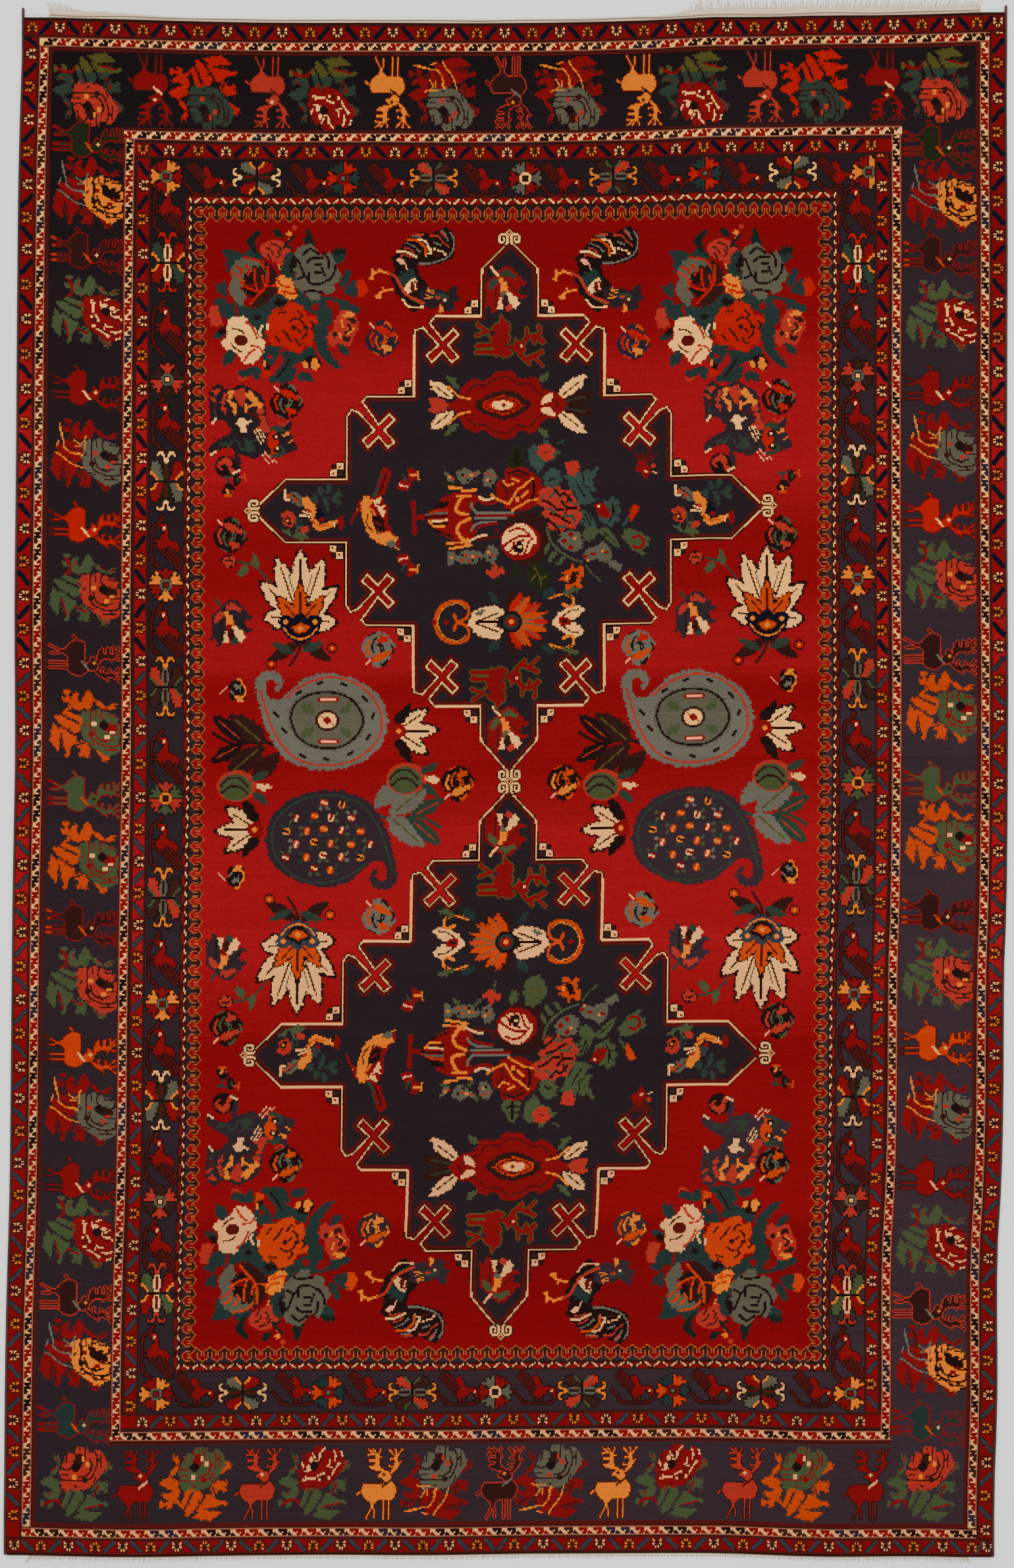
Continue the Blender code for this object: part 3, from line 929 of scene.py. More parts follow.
def dash_stripe(length, height, pitch):
    """White dashes leaning turn about, a red triangle in each wedge between them."""
    strip = blank(length, height)
    strip[:] = ink("B")
    top, bottom = 1.5, height - 1.5
    count = round(length / pitch)
    for i in range(count + 1):
        x = i * length / count
        base, apex, lean = (top, bottom - 1.5, 1) if i % 2 else (bottom, top + 1.5, -1)
        broad, narrow = pitch * TRIANGLE_BASE, pitch * TRIANGLE_TIP
        fill(strip, [(x - broad, base), (x + broad, base), (x + narrow, apex),
                     (x - narrow, apex)], ink("r"))
        half = (bottom - top) * 0.3
        ends = [(x + pitch / 2 + lean * way * DASH_LEAN, top + 2.5 - way * half)
                for way in (1, -1)]
        stroke(strip, ends, DASH_RIM, ink("B"))
        stroke(strip, ends, DASH_WIDTH, ink("w"))
    strip[0] = strip[-1] = ink("B")
    return strip


def point_stripe(length, height, pitch):
    """The hooked points, spread to the pitch at which they were tied."""
    cell = charted(HOOKED_POINT)
    high, wide = cell.shape
    along = (np.arange(length) + 0.5) * round(length / pitch) / length
    down = ((np.arange(height) + 0.5) * high / height).astype(int)
    return cell[down][:, ((along % 1) * wide).astype(int)]


def lay_round(stripe, outer, inner, pitches):
    """Lays a stripe along the head, the foot, the left and the right side of a ring."""
    for side, place, pitch in zip(("head", "foot", "left", "right"), (0, 1, 2, 2), pitches):
        along, length = outer[2], COLUMNS - 2 * outer[2]
        if place == 2:
            along, length = outer[0], ROWS - outer[0] - outer[1]
        lay(stripe(length, inner[place] - outer[place], pitch), side, along, outer[place])


lay_round(dash_stripe, *DASH_STRIPE, (6.5, 6.7, 7.3, 7.3))
lay_round(point_stripe, *POINT_STRIPE, (9.1, 11.0, 10.5, 10.5))
pile_piece("dash_stripe", ring(*DASH_STRIPE))
pile_piece("hooked_point_stripe", ring(*POINT_STRIPE))


# The field and its two medallions: a madder red ground, and on it two stepped medallions
# of dark blue wool, each edged by one cream line that runs out into hooks at the points
# and into hollow crosses at the inner corners.
FIELD = ((152, 159, 144), (ROWS // 2, ROWS // 2, COLUMNS // 2))
MIDDLE = 373                    # the column of the medallions' middles
INNER_EDGE = 3.7                # knots of maroon inside a medallion's cream line
CREAM_LINE, LINE_RIM = 1.1, 2.7 # the cream line, and the dark rim under it
HOOK_OFFSET = 7.5               # from the corner of a step to the middle of its hooks
DYES["E"] = (22, 30, 26)
CROSS_WALK = ((0, 4), (-8, 12), (-12, 8), (-4, 0), (-12, -9), (-7, -13), (0, -5), (8, -13),
              (12, -8), (3, 0), (15, 13))
STEP_CORNERS = ((21.5, 148.5), (72, 87), (122.5, 24))
CHECKER = """
    ......kkkkk.
    .....kwwwwwk
    ..kkkkwwwwwk
    ..kddkwwrwwk
    ..kddkwrrwwk
    ..kkkkwwwwwk
    .kwwwwkkkkkk
    kwwwwwkddddk
    kwwrwwkddddk
    kwrrwwkddddk
    kwwwwwkddddk
    .kkkkkkkkkkk
"""
FINIAL = """
    ........w........
    .......wrw.......
    ......wrrrw......
    ..wwww.wrw.wwww..
    .wwwwww.w.wwwwww.
    ww....ww.ww....ww
    ww.ww.ww.ww.ww.ww
    ww..w.ww.ww.w..ww
    ww..w.ww.ww.w..ww
    wwwww.ww.ww.wwwww
    .www..ww.ww..www.
    .....ww...ww.....
"""


def medallion_quarter(peak, shoulder):
    """A quarter of the outline, as steps across and along from the medallion's middle."""
    walks = [[(x + across, y + along) for across, along in CROSS_WALK]
             for x, y in ((50.5, 126.5), (98.5, 61.5))]
    return [(2.5, peak), (21, shoulder), STEP_CORNERS[0], (56, 148.5), (60.5, 143), *walks[0],
            (71, 138), (72, 134), STEP_CORNERS[1], (107.5, 87), (111, 83), *walks[1],
            (119, 77), (122.5, 72), STEP_CORNERS[2], (168.5, 24), (190, 3)]


def medallion(y, head_reach, foot_reach):
    """A stepped medallion whose middle lies in a row. Towards the head and the foot it has
    its own reaches, of the point and of the shoulder."""
    quarters = []
    for side, end in ((-1, -1), (-1, 1), (1, 1), (1, -1)):
        reach = head_reach if end < 0 else foot_reach
        quarter = [(MIDDLE + side * a, y + end * b) for a, b in medallion_quarter(*reach)]
        quarters.append(quarter if side == end else quarter[::-1])
    inside, edge = blank(COLUMNS, ROWS), blank(COLUMNS, ROWS)
    fill(inside, sum(quarters, []), 1)
    chart[inside > 0] = ink("v")
    for quarter in quarters:
        stroke(edge, quarter, 2 * INNER_EDGE, 1)
    chart[(edge > 0) & (inside > 0)] = ink("m")
    for quarter in quarters:
        stroke(chart, quarter, LINE_RIM, ink("k"))
        stroke(chart, quarter, CREAM_LINE, ink("w"))
    hooks = charted(CHECKER)
    for a, b in STEP_CORNERS:
        for side, end, flip in ((-1, -1, ""), (-1, 1, "v"), (1, -1, "h"), (1, 1, "hv")):
            x = MIDDLE + side * (a + HOOK_OFFSET)
            stamp(chart, hooks, x, y + end * (b + HOOK_OFFSET), flip=flip)
    return inside > 0


chart[ring(*FIELD)] = ink("R")
in_medallions = medallion(371.5, (203, 184.5), (196.5, 175))
in_medallions |= medallion(786, (199, 179), (206, 184))
finial = rimmed(charted(FINIAL), "k")
for x, y, turns in ((372.5, 163, 0), (373.5, 574, 2), (373.5, 581, 0), (374.5, 997, 2),
                    (179, 371.5, 3), (570, 370.5, 1), (179, 786, 3), (571, 786, 1)):
    stamp(chart, finial, x, y, turns)


# The flowers and beasts of the field's corners, knotted in wool: a spray of roses in each,
# then a cock beside it, a striped beast below and a pair of buds under the beast.
SPRAY = """
    C t 8,63 24,62 36,65 46,61 52,54 60,57 70,52 78,58 89,56 106,60 116,67 106,69 96,65 94,72 82,70 \
        70,64 62,62 54,67 48,74 44,86 43,93 37,84 28,72 16,75 10,70 / 85,62 95,70 92,80 91,93 96,102 \
        103,111 96,110 87,102 82,94 81,83 83,73 / 56,98 70,98 79,94 83,102 72,106 64,110 68,111 \
        64,121 47,121 53,112 59,105 / 69,120 72,114 78,115 81,120 75,121 / 23,114 30,111 35,109 \
        34,116 28,118 / 45,94 56,94 53,104 47,100 46,110 43,110 42,98 / 58,22 66,24 68,34 65,45 \
        58,44 55,32 / 11,22 24,22 30,28 21,32 16,38 14,29 / 29,21 40,23 42,28 32,27 / 96,24 104,24 \
        101,31 94,32 / 104,50 110,45 114,45 115,56 106,55
    V6 t 37,109 39,120 / 108,35 101,51 / 99,92 108,101
    V8 t 22,96 13,110
    V5 t 13,44 12,54 / 6,47 15,56 / 4,62 16,59 / 5,88 16,84 / 46,110 52,102
    C E 30,14 38,6 40,8 36,17 40,26 34,22 / 51,4 56,8 58,12 52,10 / 74,10 77,5 80,13 82,18 75,20 / \
        93,22 104,19 104,24 96,25
    C k 50,60 56,58 60,62 54,64 / 42,72 38,74 34,71 40,70 / 64,53 69,57 62,60 / 66,24 68,30 64,38 \
        62,34 / 8,84 13,79 15,85
    C r 80,63 84,61 85,65 81,67 / 90,61 96,60 101,65 94,66
    S2 r 22,64 23,71
    S1.4 k 63,104 59,111 54,118
    C O 113,45 118,44 121,50 119,56 114,56
    C c 2,66 7,64 10,72 12,78 5,80 2,75 / 23,117 27,119 32,119 27,121
    C T 66,22 72,18 78,16 82,18 86,24 94,23 96,30 100,36 101,42 96,47 97,51 92,55 86,54 84,59 78,58 \
        75,54 69,51 65,46 68,40 65,36 69,31 67,26
    S1.7 k 69,29 72,36 73,40 / 76,30 80,27 87,27 / 88,23 92,29 92,34 / 73,24 78,20 84,24 / 77,39 \
        78,46 85,47 91,44 / 74,53 78,52 87,53 / 97,33 96,39 92,44
    S1.5 k 82,32 86,32 / 87,35 89,40 / 69,43 74,41 77,45 / 82,38 86,38
    C T 18,35 24,29 32,27 42,30 46,36 45,44 40,40 32,38 28,44 26,50 30,56 26,64 20,58 16,50 19,44
    C B 43,29 50,35 53,43 52,52 46,60 40,64 33,63 37,57 44,51 46,43 44,36
    C k 28,41 34,37 37,44 32,48 28,46 / 27,50 34,49 40,52 36,57 30,55
    C B 34,35 42,34 44,42 40,51 36,49 37,42
    S1.7 O 22,34 26,36 26,39 / 29,33 32,37 31,40 / 26,46 31,50 40,53 / 36,36 36,43 38,51 / 46,34 \
        46,44 43,51 38,56 33,62 / 28,27 38,29 43,34 / 42,41 44,48 52,48
    S1.5 c 19,38 23,41 28,45
    C c 40,20 44,15 52,13 59,16 63,21 58,26 57,32 50,30 43,26
    S1.3 B 44,19 48,21 50,25 / 48,16 54,18 56,22 / 53,21 55,25 52,27 / 46,24 48,29
    S2 E 65,11 61,15 58,19
    S1.4 E 58,17 64,20
    C y 60,9 62,6 64,9 62,12
    O1.8 c 66,4
    S1.4 y 54,32 55,36
    C y 52,44 58,41 64,44 66,51 68,56 63,59 59,57 55,52
    S1.6 O 53,44 57,48 62,49 / 59,52 63,54 67,54
    S1.4 O 56,51 60,56
    C O 46,72 52,65 58,66 62,61 68,61 73,65 76,70 82,72 84,77 80,81 81,88 79,94 74,93 72,98 66,99 \
        60,95 54,94 49,93 46,86 43,85 46,79
    S1.4 B 62,76 67,73 73,76 74,81 / 76,79 75,85 71,89 / 57,81 61,86 64,91 / 67,88 70,93 73,91 / \
        68,67 72,71 69,74 / 78,75 81,78 79,82
    S1.2 B 54,69 60,68
    S1.4 B 52,86 55,91 / 69,81 71,84
    O1.7 B 66,80
    C w 16,76 20,72 28,72 32,77 37,81 39,86 44,90 43,98 39,104 33,108 27,106 22,99 14,96 12,91 16,87 \
        15,81
    O5x4.5 m 26,90
    S1.6 c 30,76 35,81 38,88 / 34,94 39,95 42,98 / 29,105 32,100 36,97
    S1.3 B 19,81 25,82 29,85 / 18,92 23,97 27,99
    S1.8 w 42,79 40,83 41,86
    S1.6 w 46,78 46,81
    C c 102,67 109,68 114,74 115,80 111,88 108,94 100,92 94,94 91,84 96,80 97,73
    C y 103,70 108,68 112,70 106,73 / 108,80 111,82 106,85
    S1.6 y 102,75 103,79
    S1.4 y 97,84 101,85 101,88
    C B 106,74 112,73 113,77 108,76 / 102,87 107,86 108,90 104,91
    S1.6 B 107,78 109,81 105,84
    O1.6 B 97,85
    C k 73,106 78,102 83,102 87,108 85,112 77,112
    C y 72,106 76,106 77,111 74,110 / 80,103 84,105 85,109 87,109 82,113 79,110
    C O 42,110 48,113 47,118 43,117
    C k 43,106 47,108 47,113 43,111
    S1.3 y 44,105 44,110
"""
COCK = """
    S2 y 6,44 8,41 13,39 19,41
    L1.4 y 7,37 7,46 / 12,37 13,40 / 6,43 4,45
    S1.8 y 22,53 16,54 13,56 11,59
    L1.4 y 15,51 16,54 / 13,56 13,60 / 10,57 10,59
    C k 25,27 27,22 31,17 36,13 43,10 52,10 60,6 66,7 69,13 69,25 64,31 54,34 42,34 40,30 32,29 / \
        22,28 30,26 42,28 41,36 44,44 49,51 44,66 39,69 33,66 28,59 24,54 22,46 19,40 24,40 23,34
    C n 43,53 50,51 57,52 62,55 59,63 55,67 49,67 44,62 / 62,56 65,52 71,50 71,56 74,60 69,64 69,68 \
        63,69 60,64
    C t 26,44 31,39 37,38 41,43 39,47 34,46 30,51 27,48
    C w 32,50 35,46 39,44 40,47 38,51 38,54 34,56 31,53
    C m 37,47 41,48 41,55 36,53
    S1.2 w 39,48 40,53
    S1.2 e 26,45 31,55 38,61 45,64
    S2.2 c 19,40 25,44 29,51 32,56 39,60 46,63
    S1.4 w 30,60 35,66 46,66
    C p 25,31 29,30 32,34 35,38 30,34
    S1 y 49,51 50,53 54,54 / 48,53 51,55 54,56 / 47,56 50,58 53,58 / 46,59 51,60
    C H 53,58 58,56 63,56 63,61 58,60
    O1.8x1.4 c 57,59
    O1.2 w 62,61
    C y 58,66 60,64 61,69 58,69
    S1.8 w 26,24 32,24 36,26 40,28
    S1.6 w 42,15 47,16 49,20 51,25
    O1.3x2.4 w 51,23
    S1.2 w 47,28 48,26 51,25
    L1.2 w 53,22 55,22 / 56,23 61,24 / 62,25 62,27
    S1.7 o 34,15 40,15
    S1.8 o 41,16 45,19 47,22 47,26
    S1.3 G 32,17 36,19 40,21 42,24 44,23 / 37,12 44,13 / 53,17 59,19
    S1.3 c 39,11 46,11
    S1.4 c 50,12 56,12 59,15 62,18 65,20
    S1.2 c 28,27 33,27 37,29 / 31,21 35,22 39,25
    S1.2 m 53,26 58,27
    S1.4 G 42,33 50,33 57,31 64,28 68,22 68,13 65,9 / 59,7 62,11 64,16
    S1.4 c 58,8 62,13
"""
BEAST = """
    C n 5,9 10,4 18,7 28,4 36,6 43,12 47,21 48,31 52,36 59,35 67,31 65,39 69,47 71,53 64,56 55,59 \
        46,56 40,60 32,58 26,58 29,64 27,71 22,69 23,58 21,52 11,54 7,59 4,54 8,47 16,43 21,39 16,32 \
        11,30 7,33 5,28
    O8 k 17,66
    C c 12,63 17,58 22,62 22,67 25,70 20,71 19,65 15,64 13,69 11,67
    S1.7 w 23,71 27,69
    S1.4 H 13,47 15,51 17,47 19,51 22,46 / 23,45 27,48 28,52 32,53 35,50 31,47 / 30,44 34,47 40,46
    C H 32,49 37,48 39,53 35,55 31,52
    S1.3 H 9,9 9,19 8,25 11,29
    C c 14,13 17,11 17,16 15,19 18,24 15,25 13,18 / 23,9 26,7 29,11 31,17 29,21 26,17 23,13 / 28,7 \
        31,8 33,14 30,15
    S2 c 7,9 12,8 9,11 / 6,14 9,17
    S1.6 m 8,22 9,18
    C c 41,21 45,20 45,25 41,26 / 42,28 46,27 48,34 53,37 46,40 39,37 44,33
    S1.6 m 34,25 40,27 43,31
    C y 19,8 22,8 22,13 20,16 24,19 25,27 22,26 23,21 18,17 18,12 / 32,10 35,8 39,12 42,16 45,19 \
        43,21 39,19 35,15 32,13
    S1.8 y 40,14 37,19 33,21
    S1.3 y 32,18 32,25
    C w 26,31 30,29 33,31 36,30 35,35 32,34 33,39 29,40 28,36 25,34
    S1.5 w 7,33 9,30
    S1.6 w 6,57 9,55
    L1.1 w 38,38 44,49 / 40,37 46,47 / 42,37 47,44
    L0.9 n 37,43 44,39 / 40,47 48,42
    L1.1 p 44,56 50,64 / 46,54 53,63 / 49,56 56,63
    L0.9 r 43,60 50,56 / 47,63 54,59
    C H 50,37 58,35 61,39 55,40 / 57,50 62,53 61,57 55,59 51,57
    C O 50,39 55,40 53,45 57,44 56,50 57,54 52,56 48,48
    O2.6x2.2 k 55,43 56,53
    O1.4 w 55,43 56,52
    C y 60,41 65,39 65,41 61,43 / 64,47 67,45 68,46 65,48
    S1.6 c 57,32 61,34 64,31
"""
TWIN_BUDS = """
    S1.6 H 4,5 12,4 / 7,5 7,11
    C k 3,14 7,10 12,14 9,18 4,18
    S1.3 y 5,15 7,15 7,18
    L1.2 o 4,19 10,19
    O1.3 c 10,16
    C k 11,4 16,3 16,10 13,12
    S1.3 H 14,5 14,9
    S1.4 c 15,5 19,5
    L1.4 o 19,2 20,8
"""


def repeat(art, *places):
    """Stamps a motif on the chart at each place: a column, a row and perhaps a flip."""
    for x, y, *flip in places:
        stamp(chart, art, x, y, flip="".join(flip))


spray = picture(SPRAY, 124, 126)
cock = picture(COCK, 78, 76)
beast = picture(BEAST, 74, 74)
twin_buds = picture(TWIN_BUDS, 24, 22)
repeat(spray, (206, 215), (544, 218), (206, 945, "v"), (544, 946, "v"))
repeat(cock, (301, 188), (440, 189), (301, 972, "v"), (441, 974, "v"))
repeat(beast, (179, 309), (553, 310), (181, 851, "v"), (555, 854, "v"))
repeat(twin_buds, (166, 352), (585, 352), (165, 803, "v"), (583, 803, "v"))


# Single rosebuds and tulips scattered over the field, and the tulips and small stags of the
# medallions: the same few motifs knotted again in other dyes, upside down in the foot half.
ROSEBUD = """
    C 1 3,14 7,10 10,9 11,4 16,2 21,4 23,8 26,13 27,18 24,24 19,29 13,29 7,26 3,20
    C 2 10,9 13,6 17,8 22,11 24,15 18,14 13,12
    C 3 16,4 20,3 23,8 19,7
    S2 2 8,12 6,16 8,22
    S1.4 3 11,14 10,19 13,25
    S1.3 3 23,11 26,15 24,20
    S1.5 3 17,15 16,19
    S1.3 3 19,15 17,20 13,19
    C 4 15,22 19,21 22,24 20,27 16,27
    S1.2 3 7,26 13,29
    S1.3 p 5,4 9,9
"""
SMALL_BUD = """
    S1.4 p 2,13 8,7
    C k 9,9 11,4 15,2 19,3 21,7 22,12 20,17 15,18 11,16
    S1.4 y 15,2 18,2 19,6 21,8 21,13 19,16
    C G 12,6 16,5 18,10 15,11
    S1.4 G 10,10 13,14
    C y 12,13 16,14 20,18 15,18
    S1 k 15,9 19,11
"""
TULIP = """
    S2.2 5 7,3 9,6 12,9
    C 1 13,9 8,10 4,15 3,23 3,35 6,32 8,38 11,36 13,30 15,18 / 11,8 15,3 21,2 26,7 30,13 34,16 28,18 \
        30,23 35,26 28,27 23,24 20,19 15,13
    C 2 11,12 7,13 5,18 6,21 9,18 12,14 / 13,8 17,5 21,5 25,9 25,12 20,10 16,10
    S0.9 6 7,22 7,32 / 11,17 10,34 / 19,14 24,19 30,24
    C 3 13,11 17,14 20,21 17,24 14,21
    C 4 14,23 19,21 20,28 15,29
    C B 15,28 20,23 23,31 18,34
    C w 13,26 15,30 16,35 11,35 13,31 / 19,22 24,24 28,30 25,35 22,32 20,27
    C 5 17,33 21,31 23,34 19,37
"""
STAG = """
    C r 16,10 19,7 21,5 22,1 24,5 27,7 28,11 28,17 27,23 28,27 30,30 27,33 21,33 17,32 15,28 15,21 \
        13,16
    L3.2 r 16,24.5 4,25
    L2.4 r 16,29.5 3,29.5
    S2.6 r 16,15 11,13.5 7,11 4,8.5
    S2.4 r 12,14 8,15 3,17
    C r 28,25 31,23 33,20 37,22 39,19 41,20 39,26 38,30 34,30 31,28
    S3.2 r 37,24 42,18 48,18 53,22
    S2.6 r 41,19 41,12 / 47,19 51,15 50,10
    S2.4 r 46,18 47,23
    S3.2 r 35,29 40,35 46,33 52,30
    S2.6 r 41,34 43,39 / 46,33 49,36 53,40
"""
STAG_MARKS = """
    S1.2 k 26,24 32,30
    L1.4 p 37,24 37,26
    O1.2 B 35,25
    O1.6 n 15,15
"""
for dyes, *places in (
        ("NOoy", (277, 240), (466, 243)), ("kOTO", (204, 288), (576, 287)),
        ("kcgc", (163, 390), (578, 392)), ("GokO", (275, 478, "v"), (470, 478, "v")),
        ("GokO", (276, 679), (475, 675)), ("kcgc", (162, 766, "v"), (579, 762, "v")),
        ("koTo", (208, 869, "v"), (577, 871, "v")), ("noyy", (277, 920, "v"), (470, 920, "v")),
        ("kyoo", (335, 580, "v"), (415, 580, "v"))):
    repeat(picture(ROSEBUD, 29, 31, dyes), *places)
repeat(picture(SMALL_BUD, 24, 20), (165, 508), (580, 503, "v"), (165, 650, "v"), (582, 648))
blue_tulip = picture(TULIP, 38, 40, "ncyrHk")
repeat(blue_tulip, (165, 457), (515, 453), (163, 711, "v"), (512, 705, "v"))
for dyes, *places in (("rHyTcB", (371, 203)),
                      ("rgyTcB", (373, 538), (372, 617, "v"), (374, 957, "v"))):
    red_tulip = picture(TULIP, 38, 40, dyes)
    draw(red_tulip, "S1.6 w 7,3 9,6 12,9")
    repeat(red_tulip, *places)
stag = rimmed(picture(STAG, 56, 43), "e")
draw(stag, STAG_MARKS, "", (1, 1))
repeat(stag, (373, 242), (370, 502, "v"), (377, 655), (373, 917, "v"))


# The middle of each medallion: a red urn on its side with a garland of roses running out
# of its neck, a songbird behind the urn and a little red one beyond the garland, a grey
# bird out towards either side, and small red sprigs, all knotted in wool.
URN = """
    L3.4 r 11,51 12,74
    L3.6 r 12,63 22,61
    C r 20,62 26,54 33,47 40,44 48,43 55,44 58,48 57,54 54,58 55,62 56,66 59,72 58,77 53,82 46,82 \
        39,79 30,74 24,68
    C k 24,56 30,51 37,50 36,54 27,56
    S1.3 O 23,59 28,57 37,56
    S1.3 T 20,61 28,59 37,59
    S1.4 k 20,62 36,61 / 21,64 27,67 37,67 / 23,69 30,73 41,77
    S1.6 w 26,65 31,65 36,64
    S2 y 23,65 27,69 34,69
    S2.8 y 38,39 42,40 47,40 / 48,42 54,42 58,41
    S2.4 y 44,46 54,46
    S2.6 y 49,46 46,49 44,53 43,56 46,59 52,60 / 54,63 50,65 46,67 44,72 46,76 50,81
    C y 50,80 54,79 54,85 50,85
    S2 y 37,82 44,82 50,81 / 39,86 46,85 52,84
    S1.3 r 42,83 47,83
    S2 G 55,52 56,56 60,59 70,59 86,59
    S2.4 G 58,63 68,63 81,63
    S2 G 55,72 58,68 64,66 73,66
    S2.2 r 59,61 72,61 87,61 / 60,70 66,68 74,67
    S2.8 r 57,46 62,50 68,52 74,50
    S2 w 61,47 65,49 71,48
    S1.8 y 70,45 75,49
    S2 w 54,80 60,77 66,76
    S2.2 m 60,80 68,78 76,77
    C m 71,75 75,71 76,74
"""
GARLAND = """
    C r 73,39 76,33 80,32 80,27 86,24 94,24 100,28 103,30 107,34 108,42 106,50 101,55 94,58 86,57 \
        79,54 75,47
    S2.6 m 78,33 79,38 82,44 81,48
    S2 k 101,33 102,40 101,48 98,50
    S1.6 k 83,29 90,27 97,30
    S1.8 m 87,30 93,31 98,36 97,42 92,46 86,44 84,38
    S1.6 y 79,35 82,38 86,37 / 86,33 90,35 / 75,49 80,51 83,52 85,49 87,46 90,41 94,39 97,36 101,33 \
        / 86,57 89,55 93,53 98,50 106,49 / 93,47 97,43
    O1.8x2.4 y 89.5,49
    C 2 81,19 84,14 86,9 89,7 92,11 94,16 95,23 90,23 88,26 83,24
    S1.2 k 89,10 89,24
    S1.1 k 86,14 89,17 / 92,14 89,17 / 84,18 89,21 / 94,19 89,21
    J 1 99,20 98,11 102,6 107,8 110,3 114,5 117,11 123,13 118,17 116,20 110,21 108,27 104,29
    C c 104,13 106,8 112,6.5 117,9 118,14 115,18 111,20 107,17
    S1.1 m 109,14 113,12
    S1.1 1 119,7 122,6 125,4
    J 1 109,32 112,27 117,25 122,28 123,34 120,40 114,42 110,38
    S1.2 k 113,36 116,33 119,34
    J 1 128,38 125,31 131,29 137,28 140,32 143,30 146,31 143,35 147,36 146,40 150,43 144,44 146,49 \
        151,50 144,53 138,54 133,52 128,46
    C c 125,24 127,21 133,20 137,24 135,28 134,32 131,30 128,30
    V4 1 144,36 150,24 / 141,33 143,27
    S1.1 k 134,36 137,42 141,48 / 138,38 144,41 / 131,42 135,50 / 140,32 139,37
    J 1 136,59 141,57 147,63 151,72 144,72 138,68
    S1.1 k 140,60 143,65 145,70 / 138,64 142,66 / 143,60 146,66
    J 1 151,56 156,54 154,50 159,52 160,47 164,50 167,52 165,56 169,58 166,62 167,66 162,67 161,72 \
        156,68 151,66
    C r 148,54 153,52 158,56 160,62 155,64 150,60
    O1.2 w 151,55
    S1.1 k 161,52 162,60 159,67 / 162,57 165,54 / 162,62 165,61
    V2.2 1 169,71 174,62
    C O 174,61 176,56 180,53.5 182,56 179,62 175,66
    J c 105,46 106,43 112,39 115,41 121,39 123,42 130,42 132,48 136,52 137,58 140,62 135,67 132,72 \
        128,71 123,75 119,73 115,72 112,69 114,64 109,60 110,54 104,52
    S2 1 114,47 119,44 122,47 / 113,56 118,59 / 125,62 131,62 133,66 / 120,70 126,70
    S1.3 1 127,47 130,52 135,53 / 107,48 110,46
    S1.8 k 109,50 114,52 120,57 124,57 / 115,60 121,62 125,65 129,67
    S1.6 k 118,42 122,46 125,45 130,50 / 112,65 117,68 121,73
    S1.8 k 123,51 128,56 134,56
    S1.3 k 127,54 126,60 / 127,52 129,46
    O19x20 B 96,79
    V7 2 88,97 91,109
    C 2 99,98 106,96 114,105 113,113 108,120 101,117 97,110
    S1.1 e 102,100 106,107 108,116 / 104,106 100,111 / 107,110 112,107
    O15.5x14 r 92,81
    O13x11.5 w 91,80
    C w 79,78 83,72 90,67 97,69 101,74 96,77 88,78 83,79
    S2 r 80,84 85,80 92,77 99,77
    S1.6 r 84,73 89,71 94,72 98,75 / 82,90 86,86 87,82 / 87,94 91,89 90,83 94,80 / 93,94 96,88 98,82 \
        101,79
    C k 87,85 90,81 94,83 94,88 90,90
    S1.3 w 90,85 93,85
    S1.6 r 99,90 102,84
    C T 35,27 39,31 42,36 36,33 / 43,28 50,25 55,27 61,27 58,33 54,36 48,36 44,33 / 63,32 66,27 \
        70,26 74,32 71,37 67,40 63,36
    V3 2 41,36 33,38 / 55,36 60,40 / 61,29 63,23
    O1.4 y 38.5,31.5 54.5,30 67,34
    O1.1 c 51,31 58,29 70,30 66,29 41,33
    O1 k 48,30 52,34 57,33 69,35
    C T 36,91 42,88 44,94 39,99 / 44,93 48,88 54,87 60,88 64,92 59,97 51,98 46,97 / 65,89 68,84 \
        73,85 75,92 71,97 66,95
    V3 2 41,87 37,84 / 60,97 64,101 / 48,98 43,103
    O1.4 y 40,93 56,92 68,89
    O1.1 O 51,91 59,92 71,91 48,95 53,95
    O1 k 48,91 56,95 69,93 61,94
    C c 66,103 71,102 71,97 74,98 75,102 80,101 79,105 76,106 73,109 68,107
    S1.4 2 74,108 76,116
    C g 140,73 147,71 151,73 149,78 144,82 140,79 / 150,71 157,72 163,77 167,86 160,83 155,77 151,75
    S1 D 154,74 160,79 164,83
    C g 169,75 176,72 182,75 189,80 188,86 184,89 186,92 178,90 174,85 170,81
    S2.4 r 177,79 182,78 185,83 182,87 177,86
    C T 121,80 125,74 131,73 138,77 139,84 134,90 128,88 123,85 / 140,89 146,86 151,84 156,82 160,88 \
        160,94 155,97 148,95 142,96
    O2.4x1.8 r 125,81 130,76 130,86
    O1.8x1.4 r 141,93 147,91 157,90
    O1.5 y 133,79 143,96 154,89
    S1.8 g 112,71 115,81 121,88 130,94 138,97
    V3.5 g 115,82 110,90 / 119,87 114,97 / 126,92 119,100
    S1.2 g 141,99 146,106 153,112
    C T 156,97 163,96 168,100 167,106 162,102
    C o 123,105 128,102 131,98 135,102 139,99 140,106 137,112 140,118 134,116 127,118 126,113 \
        121,110 127,107
    C k 133,104 136,107 132,113 128,114 129,109
    S1.2 y 127,107 127,111
"""
